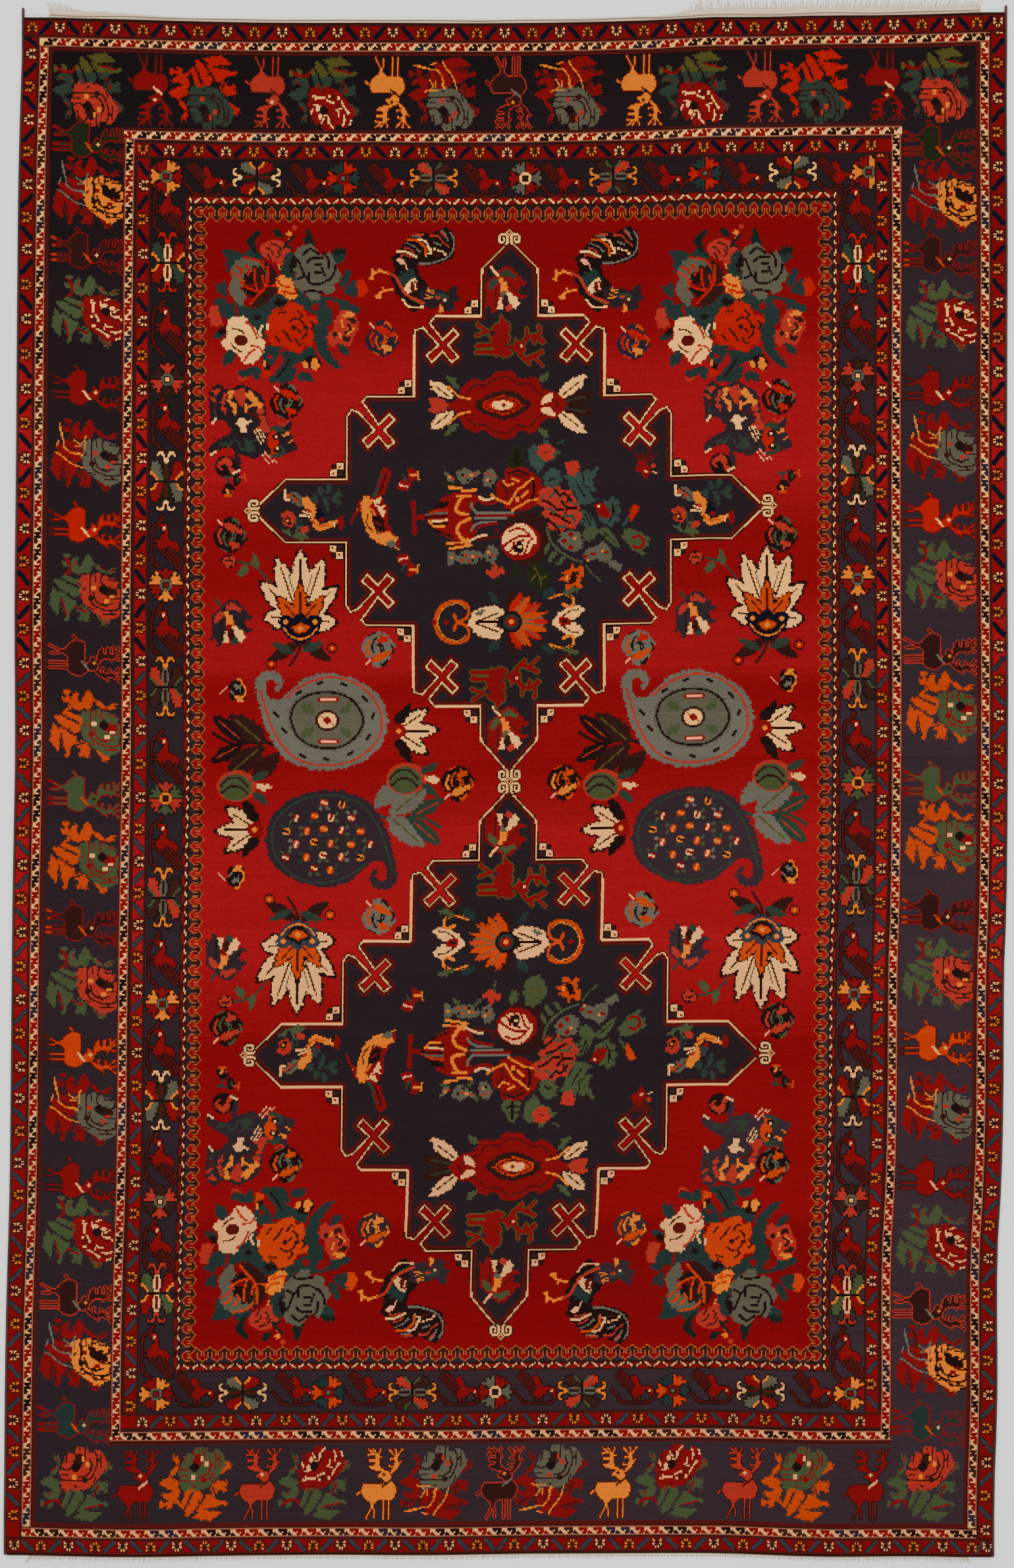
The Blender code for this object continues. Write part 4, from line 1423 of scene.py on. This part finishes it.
SIDE_BIRD = """
    S1.8 w 6,7 6,13 9,14
    O1.6 o 8.5,11
    C T 10,9 15,9 19,14 19,18 15,18 11,14
    O1.6 c 13.5,14
    S1.1 m 9,9 14,12 19,17
    C y 19,14 22,11 25,14 29,19 30,24 29,28 31,32 36,32 42,29 47,30 42,34 37,37 31,37 27,33 25,26 \
        24,21 21,19
    S1.1 o 26,30 32,34 40,33
    C c 22,22 25,21 26,25 22,24
    S1.3 w 19,22 22,24 26,25 / 17,26 21,26 25,27
    C b 30,21 34,22 36,26 32,28 29,26
    O1.8 r 34,29
    C r 46,29 49,27 51,33 47,36
    S1 w 44,31 43,35
    C H 35,13 38,15 40,21 38,23 36,19 35,15
    V5 H 33,11 33,4 / 38,9 40,2 / 41,11 48,18 / 44,8 49,12 / 31,16 26,10
    S1.2 H 35,12 43,13
    C c 3,25 9,23 14,29 11,35 6,33 4,29
    C k 5,28 9,28 11,32 7,32
    O1.1 y 8,30
    S1.6 g 7,38 10,41 15,42 21,41 / 14,41 16,36 19,34
    V4 g 14,40 24,43 / 10,41 5,36 / 16,41 20,46
    S1.6 H 15,28 15,34 / 18,30 19,34
    C c 18,38 21,34 24,35 23,38 20,40
"""
SONGBIRD = """
    C H 25,6 29,7 28,14 25,20 21,25 18,24 20,20 23,12
    C r 27,2 33,5 30,15 27,22 23,21
    S1.2 k 29,6 27,14 23,22
    C r 25,22 29,28 31,36 32,46 37,53 41,59 38,61 34,55 27,51 20,49 16,42 15,34 16,26 20,24
    C k 19,38 23,38 28,42 29,48 24,49 19,44
    S1.2 r 21,42 26,46
    C y 12,23 16,23 18,27 17,32 19,36 19,42 21,48 24,52 30,50 36,53 38,56 33,59 29,61 23,59 17,53 \
        13,46 11,38 10,34 11,28
    S1.1 k 16,37 15,44 20,51
    S2 y 8,33 13,32
    C w 19,27 23,25 26,24 26,28 23,30 28,32 27,39 24,35 21,31
    S1.4 o 16,31 20,34
    S1.4 y 19,33 21,38
    S2 r 10,27 8,32 / 10,33 6,37 3,44
    O1.1 w 36,58
    C T 30,59 34,57 38,60 34,63
    S1.2 y 36,62 40,64
"""
SPRIG = """
    C r 2,13 8,10 12,14 9,19 3,18
    S1.4 p 3,14 5,15 10,16
    S1.6 H 6,7 8,11
    C r 10,2 14,2 16,7 14,12 10,10
    S1.3 y 11,7 18,7 / 17,4 18,11
"""
RED_BIRD = """
    V3.4 m 2,4 9,12 / 7,3 10,11 / 14,2 11,11 / 19,4 12,12
    C r 6,10 11,11 14,19 10,24 6,19 3,16
    S1.2 w 9,17 12,19
    O2 c 16,14
    S1.2 w 15,18 19,20
"""
for dyes, *place in (("jD", 388, 376.5), ("gg", 388, 783, "v")):
    garland = picture(GARLAND, 196, 125, dyes)
    draw(garland, URN)
    repeat(garland, place)
repeat(picture(SIDE_BIRD, 54, 48), (225, 373), (520, 372), (225, 784, "v"), (518, 785, "v"))
repeat(picture(SONGBIRD, 44, 66), (273, 370), (273, 797, "v"))
repeat(picture(SPRIG, 22, 22), (298, 348), (298, 412, "v"), (304, 744), (304, 806, "v"))
repeat(picture(RED_BIRD, 23, 26), (477, 338), (478, 822, "v"))


# Large flowering ornaments in wool, the biggest motifs of the field and of the medallions:
# cream lotuses, grey and dark blue botehs strewn with flowers, and a red palmette and a
# sunburst that lie on their sides.
LOTUS = """
    S2 B 66,72 65,82 58,93
    V9 B 65,76 42,90 / 67,76 90,90
    V6 H 62,84 44,76 / 67,82 84,76
    S1.6 H 46,34 32,18 16,14
    V6 g 34,20 30,8 / 26,16 20,26
    V17 k 66,60 95,60 / 66,60 37,56 / 66,60 95,32 / 66,60 35,28 / 66,60 84,10 / 66,60 47,10 / 66,60 \
        66,3
    V14 w 66,60 93,60 / 66,60 39,56 / 66,60 93,34 / 66,60 37,30 / 66,60 83,12 / 66,60 48,12 / 66,60 \
        66,5
    S1.2 k 74,59 88,60 / 58,58 44,56 / 74,52 89,37 / 57,51 42,34 / 71,47 81,18 / 61,47 51,18 / 66,46 \
        66,12
    S1 T 69,44 75,24 / 63,44 57,24
    V12 k 66,64 48,40 / 66,64 84,40 / 66,64 66,28
    V9.4 o 66,63 49,41 / 66,63 83,41 / 66,63 66,30
    S1.2 m 66,58 66,37 / 63,57 54,46 / 69,57 78,46
    C b 50,58 55,54 61,57 66,52 71,57 77,54 82,58 80,67 73,74 66,76 59,74 52,67
    C k 56,62 61,61 66,57 71,61 76,62 72,69 66,72 60,69
    C o 60,64 66,61 72,64 66,69
    O1.6 y 66,65 55,60 77,60
    S1.3 y 53,64 58,70 66,73 74,70 79,64
    O6x5 k 12,14
    C c 7,12 11,10 16,11 17,15 13,18 8,17
    S1.2 k 9,14 13,13 15,15
    O4.4x4 k 44,92 90,80
    O3.2x2.8 O 44,92 90,80
    O1.2 y 44,92 90,80
"""
SUNBURST = """
    S2.4 o 3,26 6,17 13,11 22,10 29,15 27,23 20,25 18,20 / 3,26 6,35 13,41 22,42 29,37 27,29 20,27 \
        18,32
    S1.1 y 5,26 8,18 14,13 22,12 27,16 / 5,26 8,34 14,39 22,40 27,36
    O1.6 r 3,26 12,26
    C w 30,22 38,15 50,14 56,20 48,24 56,26 48,29 56,33 50,39 38,37 30,30
    S1.2 k 34,26 52,19 / 34,26 54,26 / 34,27 52,34
    C T 33,20 38,17 42,17 38,21
    V9 B 60,26 62,1 / 60,26 62,51 / 60,26 78,4 / 60,26 78,48
    V8 O 60,26 68,4 / 60,26 68,48 / 60,26 84,12 / 60,26 84,40 / 60,26 90,26
    V7 o 60,26 75,7 / 60,26 75,45 / 60,26 88,19 / 60,26 88,33
    S1 T 62,26 82,14 / 62,26 86,23 / 62,26 86,29 / 62,26 82,38 / 62,26 71,8 / 62,26 71,44
    O8x8.5 k 61,26
    O6x6.5 t 61,26
    O4x4.4 r 61,26
    O2x2.2 y 61,26
    C w 92,26 100,18 110,14 116,18 110,24 104,26 110,28 116,34 110,38 100,34
    S1.1 k 98,24 106,18 112,17 / 98,28 106,34 112,35
    C r 96,26 101,22 106,26 101,30
    S1 k 99,26 103,26
    S2.4 y 90,8 100,5 108,9 106,15 100,13 / 90,44 100,47 108,43 106,37 100,39
    S1 B 92,7 100,4 107,8 / 92,45 100,48 107,44
    V6 t 84,8 94,1 / 84,44 94,51 / 52,12 44,3 / 52,40 44,49
    V5 g 100,5 112,1 / 100,47 112,51
"""
RED_PALMETTE = """
    V11 B 30,29 2,21 / 30,29 2,37
    S1.1 H 26,27 8,23 / 26,31 8,35
    V10 w 30,24 8,7 / 30,34 8,51
    S1.1 k 26,22 13,12 / 26,36 13,46
    C r 22,29 30,20 40,17 46,8 58,9 64,3 76,4 84,10 94,9 102,16 106,24 114,29 106,34 102,42 94,49 \
        84,48 76,54 64,55 58,49 46,50 40,41 30,38
    S1.4 m 28,29 36,23 44,20 50,13 60,13 66,8 76,9 84,14 92,14 98,20 102,26 / 28,29 36,35 44,38 \
        50,45 60,45 66,50 76,49 84,44 92,44 98,38 102,32
    C B 50,29 58,21 70,18 82,21 92,29 82,37 70,40 58,37
    C O 55,29 62,24 70,22 80,24 87,29 80,34 70,36 62,34
    S1.2 m 58,29 64,25 70,24 78,25 84,29 78,33 70,34 64,33 58,29
    C w 62,29 67,26 74,26 79,29 74,32 67,32
    O2 y 70,29
    O1 k 70,29
    V6 w 42,27 32,21 / 42,31 32,37
    S1.6 y 96,24 104,22 112,15 / 96,34 104,36 112,43
    V9 w 108,24 126,11 / 108,34 126,47
    V8 c 112,29 127,25 / 112,29 127,33
    S1.1 k 111,23 122,14 / 111,35 122,44
    V5 g 104,16 114,6 / 104,42 114,52 / 44,12 36,4 / 44,46 36,54
"""
LITTLE_FLOWER = """
    V3 3 4,7 1,10 / 6,7 9,10
    O3.2x2.8 1 5,4.5
    O1.2 2 4,4 6.5,5
"""
BOTEH = """
    C 1 58,21 50,24 44,20 44,13 49,9 53,13 50,17 54,17 57,11 54,5 47,2 40,4 36,11 37,22 40,34 44,46 \
        51,60 64,73 84,78 106,76 124,66 134,51 135,34 126,18 110,8 92,4 78,6 67,12
    S1.5 2 60,22 66,17 74,12 82,9 94,7 110,11 122,20 130,34 130,50 121,63 105,72 84,74 67,69 55,57 \
        48,44 44,32 40,18
"""
GREY_HEART = """
    C 3 60,38 66,24 82,17 100,18 114,27 119,41 112,55 96,63 78,61 65,52
    S1.6 4 62,38 67,26 82,19 100,20 112,28 117,41 110,54 96,61 78,59 67,51 62,38
    O9x8 B 90,40
    O7x6 w 90,40
    O3x2.6 r 90,40
    S1.1 k 85,36 88,39 / 95,44 92,41
    V7 g 80,34 70,28 / 80,46 70,52 / 100,34 108,28 / 100,46 108,52
    S3 r 84,24 98,24
    S1 p 85,24 97,24
    S3 r 84,56 98,56
    S1 p 85,56 97,56
    L2.4 k 50,34 53,37 / 56,46 59,49 / 70,66 73,68 / 88,69 91,70 / 106,66 109,64 / 120,54 122,51 / \
        124,38 125,35 / 120,25 117,22 / 104,13 101,12 / 86,11 83,12 / 70,18 67,20
"""
BROWN_SPRAY = """
    S2.4 k 60,62 40,56 20,58 4,50
    V17 B 44,58 16,36 / 42,60 14,82
    V11 k 28,58 4,36 / 26,58 2,72
    V13 B 54,64 34,86
    S1.2 e 40,56 20,39 / 38,62 18,79
    S1 c 24,54 8,40 / 22,60 6,69
"""
CREAM_LILY = """
    V13 k 142,48 167,30 / 142,48 175,47 / 142,48 167,66
    V10 w 142,48 165,32 / 142,48 173,47 / 142,48 165,64
    S1.2 k 148,44 161,35 / 149,48 167,48 / 148,52 161,60
    V8 k 140,46 153,27 / 140,50 154,72
    C r 138,44 145,42 150,48 145,54 138,52
    O2 y 144,48
"""
GREEN_BUD = """
    O15x12 c 150,84
    O12.5x10 g 149,85
    S1.5 B 138,84 144,78 152,78 158,84 / 139,89 146,84 153,85 158,90
    S1.3 e 143,93 150,90 156,93
    V6 H 162,88 174,98 / 161,80 174,72
    V5 w 164,84 176,85
"""
FLOWER_REACH = 5                # knots that a little flower takes to each side of its middle
GROUND_SHARE = 0.92             # how much of a flower's place must be bare ground
GARDEN_DYES = ("ykH", "cwG", "wrg", "OyH", "rwg", "oyH", "cyg")


def scattered(art, ground, across, down, place):
    """Strews little flowers, each in its own dyes, over the bare ground of one dye, at a
    pitch across and down. The place counts them and chooses the dyes and the turn."""
    for y in range(7, art.shape[0] - 6, down):
        for x in range(8 + (y // down % 2) * across // 2, art.shape[1] - 8, across):
            around = art[y - FLOWER_REACH:y + FLOWER_REACH + 1,
                         x - FLOWER_REACH:x + FLOWER_REACH + 1]
            if (around == ink(ground)).mean() > GROUND_SHARE:
                dyes = GARDEN_DYES[place % len(GARDEN_DYES)]
                flower = picture(LITTLE_FLOWER, 10, 11, dyes)
                stamp(art, flower, x, y, turns=place % 4)
            place += 1


def garden():
    """A grey boteh over a dark blue one, their tips turned apart, with leaves and lilies."""
    art = picture(BROWN_SPRAY, 180, 172)
    draw(art, BOTEH, "Gc")
    draw(art, GREY_HEART, "GcTk")
    draw(art, CREAM_LILY)
    below = picture(BROWN_SPRAY.replace("B", "G").replace("k", "H"), 180, 172)
    draw(below, BOTEH, "nH")
    scattered(below, "n", 14, 10, 0)
    draw(below, CREAM_LILY)
    stamp(art, below[:90, ::-1], 90, 126, flip="v")
    draw(art, GREEN_BUD)
    draw(art, GREEN_BUD, "", (-128, 6))
    return art


lotus = picture(LOTUS, 97, 97)
repeat(lotus, (199, 445), (551, 445), (199, 711, "v"), (549, 709, "v"))
sunburst = picture(SUNBURST, 118, 53)
repeat(sunburst, (373, 457), (375, 700, "h"))
red_palmette = picture(RED_PALMETTE, 128, 59)
scattered(red_palmette, "r", 13, 9, 3)
repeat(red_palmette, (375, 291, "h"), (374, 871))
for x, y in ((236, 577), (512, 577)):
    stamp(chart, garden(), x, y)
pile_piece("field", ring(*FIELD) & ~in_medallions)
pile_piece("medallions", ring(*FIELD) & in_medallions)


# The foundation: cotton warps and wefts, beaten down row by row, which hold every knot.
# It is one flat cloth under the pile, and the pile, cords and ends are all fixed to it.
FOUNDATION_TOP = 0.0080
FOUNDATION_FOOT = 0.0008
FOUNDATION_CELLS = (60, 92)
SIDE_INSET, END_INSET = 2.6, 0.3     # knots by which the cloth ends short of the chart

bpy.ops.mesh.primitive_grid_add(x_subdivisions=FOUNDATION_CELLS[0],
                                y_subdivisions=FOUNDATION_CELLS[1], size=1)
foundation = bpy.context.object
foundation.name = "foundation"
spread = np.array([v.co for v in foundation.data.vertices])
columns = SIDE_INSET + (COLUMNS - 2 * SIDE_INSET) * (spread[:, 0] + 0.5)
rows = END_INSET + (ROWS - 2 * END_INSET) * (0.5 - spread[:, 1])
x, y = placed(columns, rows)
z = np.full(len(x), FOUNDATION_TOP)
foundation.data.vertices.foreach_set("co", np.stack([x, y, z], 1).ravel())
thickness = foundation.modifiers.new("thickness", "SOLIDIFY")
thickness.thickness = FOUNDATION_TOP - FOUNDATION_FOOT
thickness.offset = -1
bpy.ops.object.modifier_apply(modifier="thickness")


def cotton(name, colour, weave_scale, dirt):
    """Undyed cotton: a close plain weave, a little soiled, with painted shade where the weave dips.
    """
    material, tree, shader = new_material(name)
    place = node(tree, "TexCoord", {}).outputs["Object"]
    sides = [node(tree, "TexWave", {"Vector": place, "Scale": weave_scale, "Distortion": 1.2,
                                    "Detail": 2.0, "Detail Scale": 3.0},
                  wave_type="BANDS", bands_direction=way).outputs["Fac"] for way in "XY"]
    weave = sums(tree, "MULTIPLY", *sides)
    soil = node(tree, "TexNoise", {"Vector": place, "Scale": 38.0, "Detail": 4.0})
    fibre = node(tree, "TexNoise", {"Vector": place, "Scale": 900.0, "Detail": 2.0})
    # Painted shade: the colour is darker where the weave's bands dip, the same bands that raise its
    # bump; the soil noise is real dirt.
    shade = sums(tree, "MULTIPLY_ADD", weave, 0.22, 0.72)
    shade = sums(tree, "MULTIPLY_ADD", soil.outputs["Fac"], dirt, shade)
    shade = sums(tree, "MULTIPLY_ADD", fibre.outputs["Fac"], 0.16, shade)
    tone = node(tree, "VectorMath", {0: tuple(linear(colour)), "Scale": shade}, operation="SCALE")
    height = sums(tree, "MULTIPLY_ADD", fibre.outputs["Fac"], 0.3, weave)
    finish_material(tree, shader, tone.outputs[0], height, 0.6, 0.0005, Roughness=0.9,
                    Specular_IOR_Level=0.15)
    return material


foundation.data.materials.append(cotton("cotton foundation", (196, 176, 146), 180.0, 0.2))
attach(foundation, "root")
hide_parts("rug_body")


# The overcast cords: along each side the outer warps are bundled and wound round and round
# with dark brown wool, which shows as a row of fine ridges leaning the same way.
CORD_RADIUS = 0.0032
CORD_OFFSET = 0.0035            # from the pile's edge to the middle of the cord
WRAP_PITCH = 0.0040
CORD_SIDES = 8
THINNING = 0.05                 # how much thinner a turn of yarn may be, as a share
GROOVE = 0.84                   # radius between two turns of yarn, as a share of the cord's
CORD_TIP = 0.55                 # radius at a cord's two ends, as such a share
WRAP_LEAN = 0.35                # how far a turn slants along the cord for each unit across
STRAIGHT_END = 0.01             # length at each end where the turns don't slant


def tubes(name, paths, radii, sides):
    """Closed round strands along their paths, as one mesh: paths is strand, step, xyz."""
    paths, radii = np.asarray(paths, float), np.asarray(radii, float)
    along = np.gradient(paths, axis=1)
    along /= np.linalg.norm(along, axis=2, keepdims=True)
    across = np.stack([-along[..., 1], along[..., 0], 0 * along[..., 0]], 2)
    across /= np.maximum(np.linalg.norm(across, axis=2, keepdims=True), 1e-9)
    upward = np.cross(along, across)
    count, steps = paths.shape[:2]
    turn = np.arange(sides) * 2 * math.pi / sides + math.pi / 2
    outward = across[:, :, None] * np.cos(turn)[:, None] + upward[:, :, None] * np.sin(turn)[:, None]
    rings = paths[:, :, None] + radii[..., None, None] * outward
    first = (np.arange(count)[:, None] * steps + np.arange(steps)).reshape(count, steps, 1) * sides
    corner, following = np.arange(sides), np.roll(np.arange(sides), -1)
    walls = np.stack([first[:, :-1] + corner, first[:, :-1] + following,
                      first[:, 1:] + following, first[:, 1:] + corner], 3).reshape(-1, 4)
    starts = (first[:, 0] + corner[::-1]).tolist()
    ends = (first[:, -1] + corner).tolist()
    mesh = bpy.data.meshes.new(name)
    mesh.from_pydata(rings.reshape(-1, 3).tolist(), [], walls.tolist() + starts + ends)
    mesh.shade_smooth()
    piece = bpy.data.objects.new(name, mesh)
    bpy.context.scene.collection.objects.link(piece)
    return piece


def overcast_wool():
    """Dark brown wool yarn, nearly black, with reddish and dusty threads."""
    material, tree, shader = new_material("overcast wool")
    place = node(tree, "TexCoord", {}).outputs["Object"]
    long = node(tree, "VectorMath", {0: place, 1: (1.0, 0.35, 1.0)}, operation="MULTIPLY")
    patch = node(tree, "TexNoise", {"Vector": long.outputs[0], "Scale": 14.0, "Detail": 3.0})
    thread = node(tree, "TexNoise", {"Vector": place, "Scale": 420.0, "Detail": 3.0})
    mixed = sums(tree, "MULTIPLY_ADD", thread.outputs["Fac"], 0.5, patch.outputs["Fac"])
    ramp = node(tree, "ValToRGB", {0: mixed})
    steps = ramp.color_ramp.elements
    steps[0].position, steps[1].position = 0.45, 1.05
    steps[0].color = (*linear((26, 16, 14)), 1)
    steps[1].color = (*linear((84, 40, 34)), 1)
    finish_material(tree, shader, ramp.outputs["Color"], thread.outputs["Fac"], 0.5, 0.0004,
                    Roughness=0.9, Sheen_Weight=0.15)
    return material


cord_wool = overcast_wool()
for side, line, way in (("left", left_line, -1), ("right", right_line, 1)):
    solid = "selvedge_" + side
    low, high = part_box(solid)
    steps = 2 * int((high[1] - low[1]) / WRAP_PITCH) + 1
    y = np.linspace(low[1] + 0.0001, high[1] - 0.0001, steps)
    x = np.interp(y, line[:, 1], line[:, 0]) + way * CORD_OFFSET
    uneven = wander[:steps // 2 + 1, 40 if way < 0 else 41, 0].repeat(2)[:steps]
    radius = CORD_RADIUS * np.where(np.arange(steps) % 2, GROOVE, 1.0)
    radius *= 1 - THINNING * uneven ** 2
    radius[0] = radius[-1] = CORD_RADIUS * CORD_TIP
    path = np.stack([x, y, np.full(steps, CORD_RADIUS)], 1)
    cord = tubes("overcast_cord_" + side, [path], [radius], CORD_SIDES)
    points = np.array([v.co for v in cord.data.vertices])
    middle = np.repeat(path, CORD_SIDES, 0)
    leaning = np.abs(middle[:, 1]) < high[1] - STRAIGHT_END
    points[:, 1] += (points[:, 0] - middle[:, 0]) * WRAP_LEAN * leaning
    cord.data.vertices.foreach_set("co", points.ravel())
    cord.data.materials.append(cord_wool)
    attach(cord, "root")
    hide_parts(solid)


# The ends: past the last knots a few rows of cotton weft are woven across the warps, and
# the warps' cut ends stand out from them as a fine fringe. At the head a line of dark
# brown wool is twined through the weave.

# In each row: the place across the rug, how far the weave goes past the pile, and the reach
# of the fringe past the weave, in millimetres.
HEAD_WEAVE = ((-990, 21, 15.5), (-895, 17, 16.5), (-860, 15, 3.6), (-765, 11, 3.0), (-665, 7, 2.6),
              (-465, 8, 2.8), (-265, 7, 3.0), (-65, 8, 2.6), (135, 8, 2.8), (345, 9, 3.4),
              (385, 17, 20.5), (535, 19, 18.0), (635, 17, 17.0), (735, 18, 16.0), (835, 16, 15.5),
              (935, 15, 14.0), (1015, 13, 11.5))
FOOT_WEAVE = ((-1020, 4, 15.5), (-965, 4, 15.0), (-935, 3, 9.5), (-765, 3, 8.5), (-565, 3, 9.5),
              (-365, 3, 9.0), (-165, 3, 10.0), (35, 3, 10.0), (235, 3, 9.5), (435, 3, 9.0),
              (635, 3, 8.5), (835, 3, 9.5), (925, 3, 12.0), (990, 3, 14.5))
WEAVE_TOP = 0.0019
WEAVE_THICKNESS = 0.0015
STRANDS_PER_END = 560
STRAND_RADIUS = 0.00075
STRAND_STEPS = 5
STRAND_TUCK = 0.002             # length of a strand that lies inside the weave
RIB_DEPTH = 0.0003
WEAVE_START = 0.0003            # gap from the pile's edge to the weave
TWINING_OFFSET = 0.0058         # the dark twining's place past the pile
TWINING_STITCH = 0.0052
TWINING_RADIUS = 0.0008
STITCH_PROFILE = (0.35, 0.9, 1.0, 0.9, 0.35)  # a stitch's thickness from end to end


def end_values(table, x, column):
    """A column of an end's table at places across the rug, in metres."""
    table = np.array(table)
    return np.interp(x, table[:, 0] / 1000, table[:, column] / 1000)


def weave_strip(name, table, line, outward, rows):
    """A narrow strip of plain weave past the pile, its weft rows standing as fine ribs."""
    bpy.ops.mesh.primitive_grid_add(x_subdivisions=240, y_subdivisions=rows, size=1)
    strip = bpy.context.object
    strip.name = name
    spread = np.array([v.co for v in strip.data.vertices])
    low, high = line[0, 0], line[-1, 0]
    x = low + (high - low) * (spread[:, 0] + 0.5)
    share = (spread[:, 1] + 0.5) if outward > 0 else (0.5 - spread[:, 1])
    start = np.interp(x, line[:, 0], line[:, 1])
    wide = end_values(table, x, 1)
    ragged = 0.0003 * np.sin(x * 410) * np.sin(x * 97 + 2) * share
    y = start + outward * (WEAVE_START + (wide - WEAVE_START) * share + ragged)
    rib = np.round(share * rows) % 2
    z = WEAVE_TOP - RIB_DEPTH * rib + 0.0002 * np.sin(x * 37) * share
    strip.data.vertices.foreach_set("co", np.stack([x, y, z], 1).ravel())
    body = strip.modifiers.new("thickness", "SOLIDIFY")
    body.thickness = WEAVE_THICKNESS
    body.offset = -1
    bpy.ops.object.modifier_apply(modifier="thickness")
    strip.data.shade_smooth()
    return strip


def fringe_strands(name, table, line, outward, seed):
    """The warps' cut ends, each its own length and lean, lying on the floor."""
    chance = np.random.default_rng(seed)
    low, high = line[0, 0] + 0.001, line[-1, 0] - 0.001
    x = np.linspace(low, high, STRANDS_PER_END) + chance.uniform(-0.0008, 0.0008, STRANDS_PER_END)
    weave = end_values(table, x, 1)
    root = np.interp(x, line[:, 0], line[:, 1]) + outward * (weave - STRAND_TUCK)
    reach = (end_values(table, x, 2) + STRAND_TUCK) * chance.uniform(0.72, 1.0, STRANDS_PER_END)
    lean = 0.5 * (x / high) ** 3 + 0.16 * np.sin(x * 21) + chance.normal(0, 0.10, STRANDS_PER_END)
    curl = chance.normal(0, 0.12, STRANDS_PER_END)
    step = np.linspace(0, 1, STRAND_STEPS)[None]
    x, root, reach, lean, curl = (values[:, None] for values in (x, root, reach, lean, curl))
    paths = np.stack([x + reach * (lean * step + curl * step ** 2), root + outward * reach * step,
                      STRAND_RADIUS + 0.0006 * (1 - step) ** 2 + 0 * x], 2)
    thickness = chance.uniform(0.8, 1.1, (STRANDS_PER_END, 1))
    radii = STRAND_RADIUS * (1.0 - 0.35 * step ** 3) * thickness
    return tubes(name, paths, radii, 4)


white_cotton = cotton("undyed cotton weave", (232, 208, 172), 260.0, 0.16)
for end, table, line, outward, rows in (("head", HEAD_WEAVE, head_line, 1, 14),
                                        ("foot", FOOT_WEAVE, foot_line, -1, 3)):
    strip = weave_strip("end_weave_" + end, table, line, outward, rows)
    strands = fringe_strands("fringe_strands_" + end, table, line, outward, 11 + rows)
    for piece in (strip, strands):
        piece.data.materials.append(white_cotton)
        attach(piece, "root")
    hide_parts("fringe_" + end)

low, high = head_line[0, 0], head_line[-1, 0]
stitches = int((high - low) / TWINING_STITCH)
x = np.linspace(low + 0.006, high - 0.006, stitches)
y = np.interp(x, head_line[:, 0], head_line[:, 1]) + TWINING_OFFSET + 0.0006 * np.sin(x * 31)
half = np.array([-0.5, -0.25, 0, 0.25, 0.5]) * TWINING_STITCH * 1.1
paths = np.stack([x[:, None] + half, y[:, None] + half * 0.32,
                  WEAVE_TOP + 0.0002 * np.cos(half / TWINING_STITCH * 3) + 0 * x[:, None]], 2)
radii = np.array(STITCH_PROFILE) * TWINING_RADIUS * np.ones((stitches, 1))
twining = tubes("twined_line_head", paths, radii, 5)
twining.data.materials.append(overcast_wool())
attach(twining, "root")


# The floor: a plain pale surface, even and dull, on which the rug lies.
FLOOR_SIZE = 16
bpy.ops.mesh.primitive_plane_add(size=FLOOR_SIZE, location=(0, 0, 0))
floor = bpy.context.object
floor.name = "floor"
material, tree, shader = new_material("pale floor")
shader.inputs["Base Color"].default_value = (0.95, 0.945, 0.93, 1)
shader.inputs["Roughness"].default_value = 0.8
floor.data.materials.append(material)

# The light: three broad soft lamps high round the rug, and an even pale surround.
LAMP_HEIGHT = 4.2
LAMP_WIDTH = 3.0
LAMP_WATTS = 120
for x, y in ((-2.5, 2.5), (2.5, 2.0), (0.0, -3.0)):
    bpy.ops.object.light_add(type="AREA", location=(x, y, LAMP_HEIGHT))
    lamp = bpy.context.object
    lamp.data.energy = LAMP_WATTS
    lamp.data.size = LAMP_WIDTH
    lamp.rotation_euler = (math.atan2(math.hypot(x, y), LAMP_HEIGHT), 0,
                           math.atan2(y, x) + math.pi / 2)
surround = bpy.data.worlds.new("surround")
surround.use_nodes = True
surround.node_tree.nodes["Background"].inputs["Color"].default_value = (1, 1, 1, 1)
surround.node_tree.nodes["Background"].inputs["Strength"].default_value = 0.6
bpy.context.scene.world = surround

# The camera looks straight down from so high that the picture's sides are nearly upright.
PICTURE_LENGTH = 3.1747         # metres of the rug's length in the picture
LENS, SENSOR = 85, 36
bpy.ops.object.camera_add(location=(0.0027, -0.0053, PICTURE_LENGTH * LENS / SENSOR + PILE_TOP))
camera = bpy.context.object
camera.data.lens = LENS
camera.data.sensor_width = SENSOR
camera.data.clip_end = 100
bpy.context.scene.camera = camera
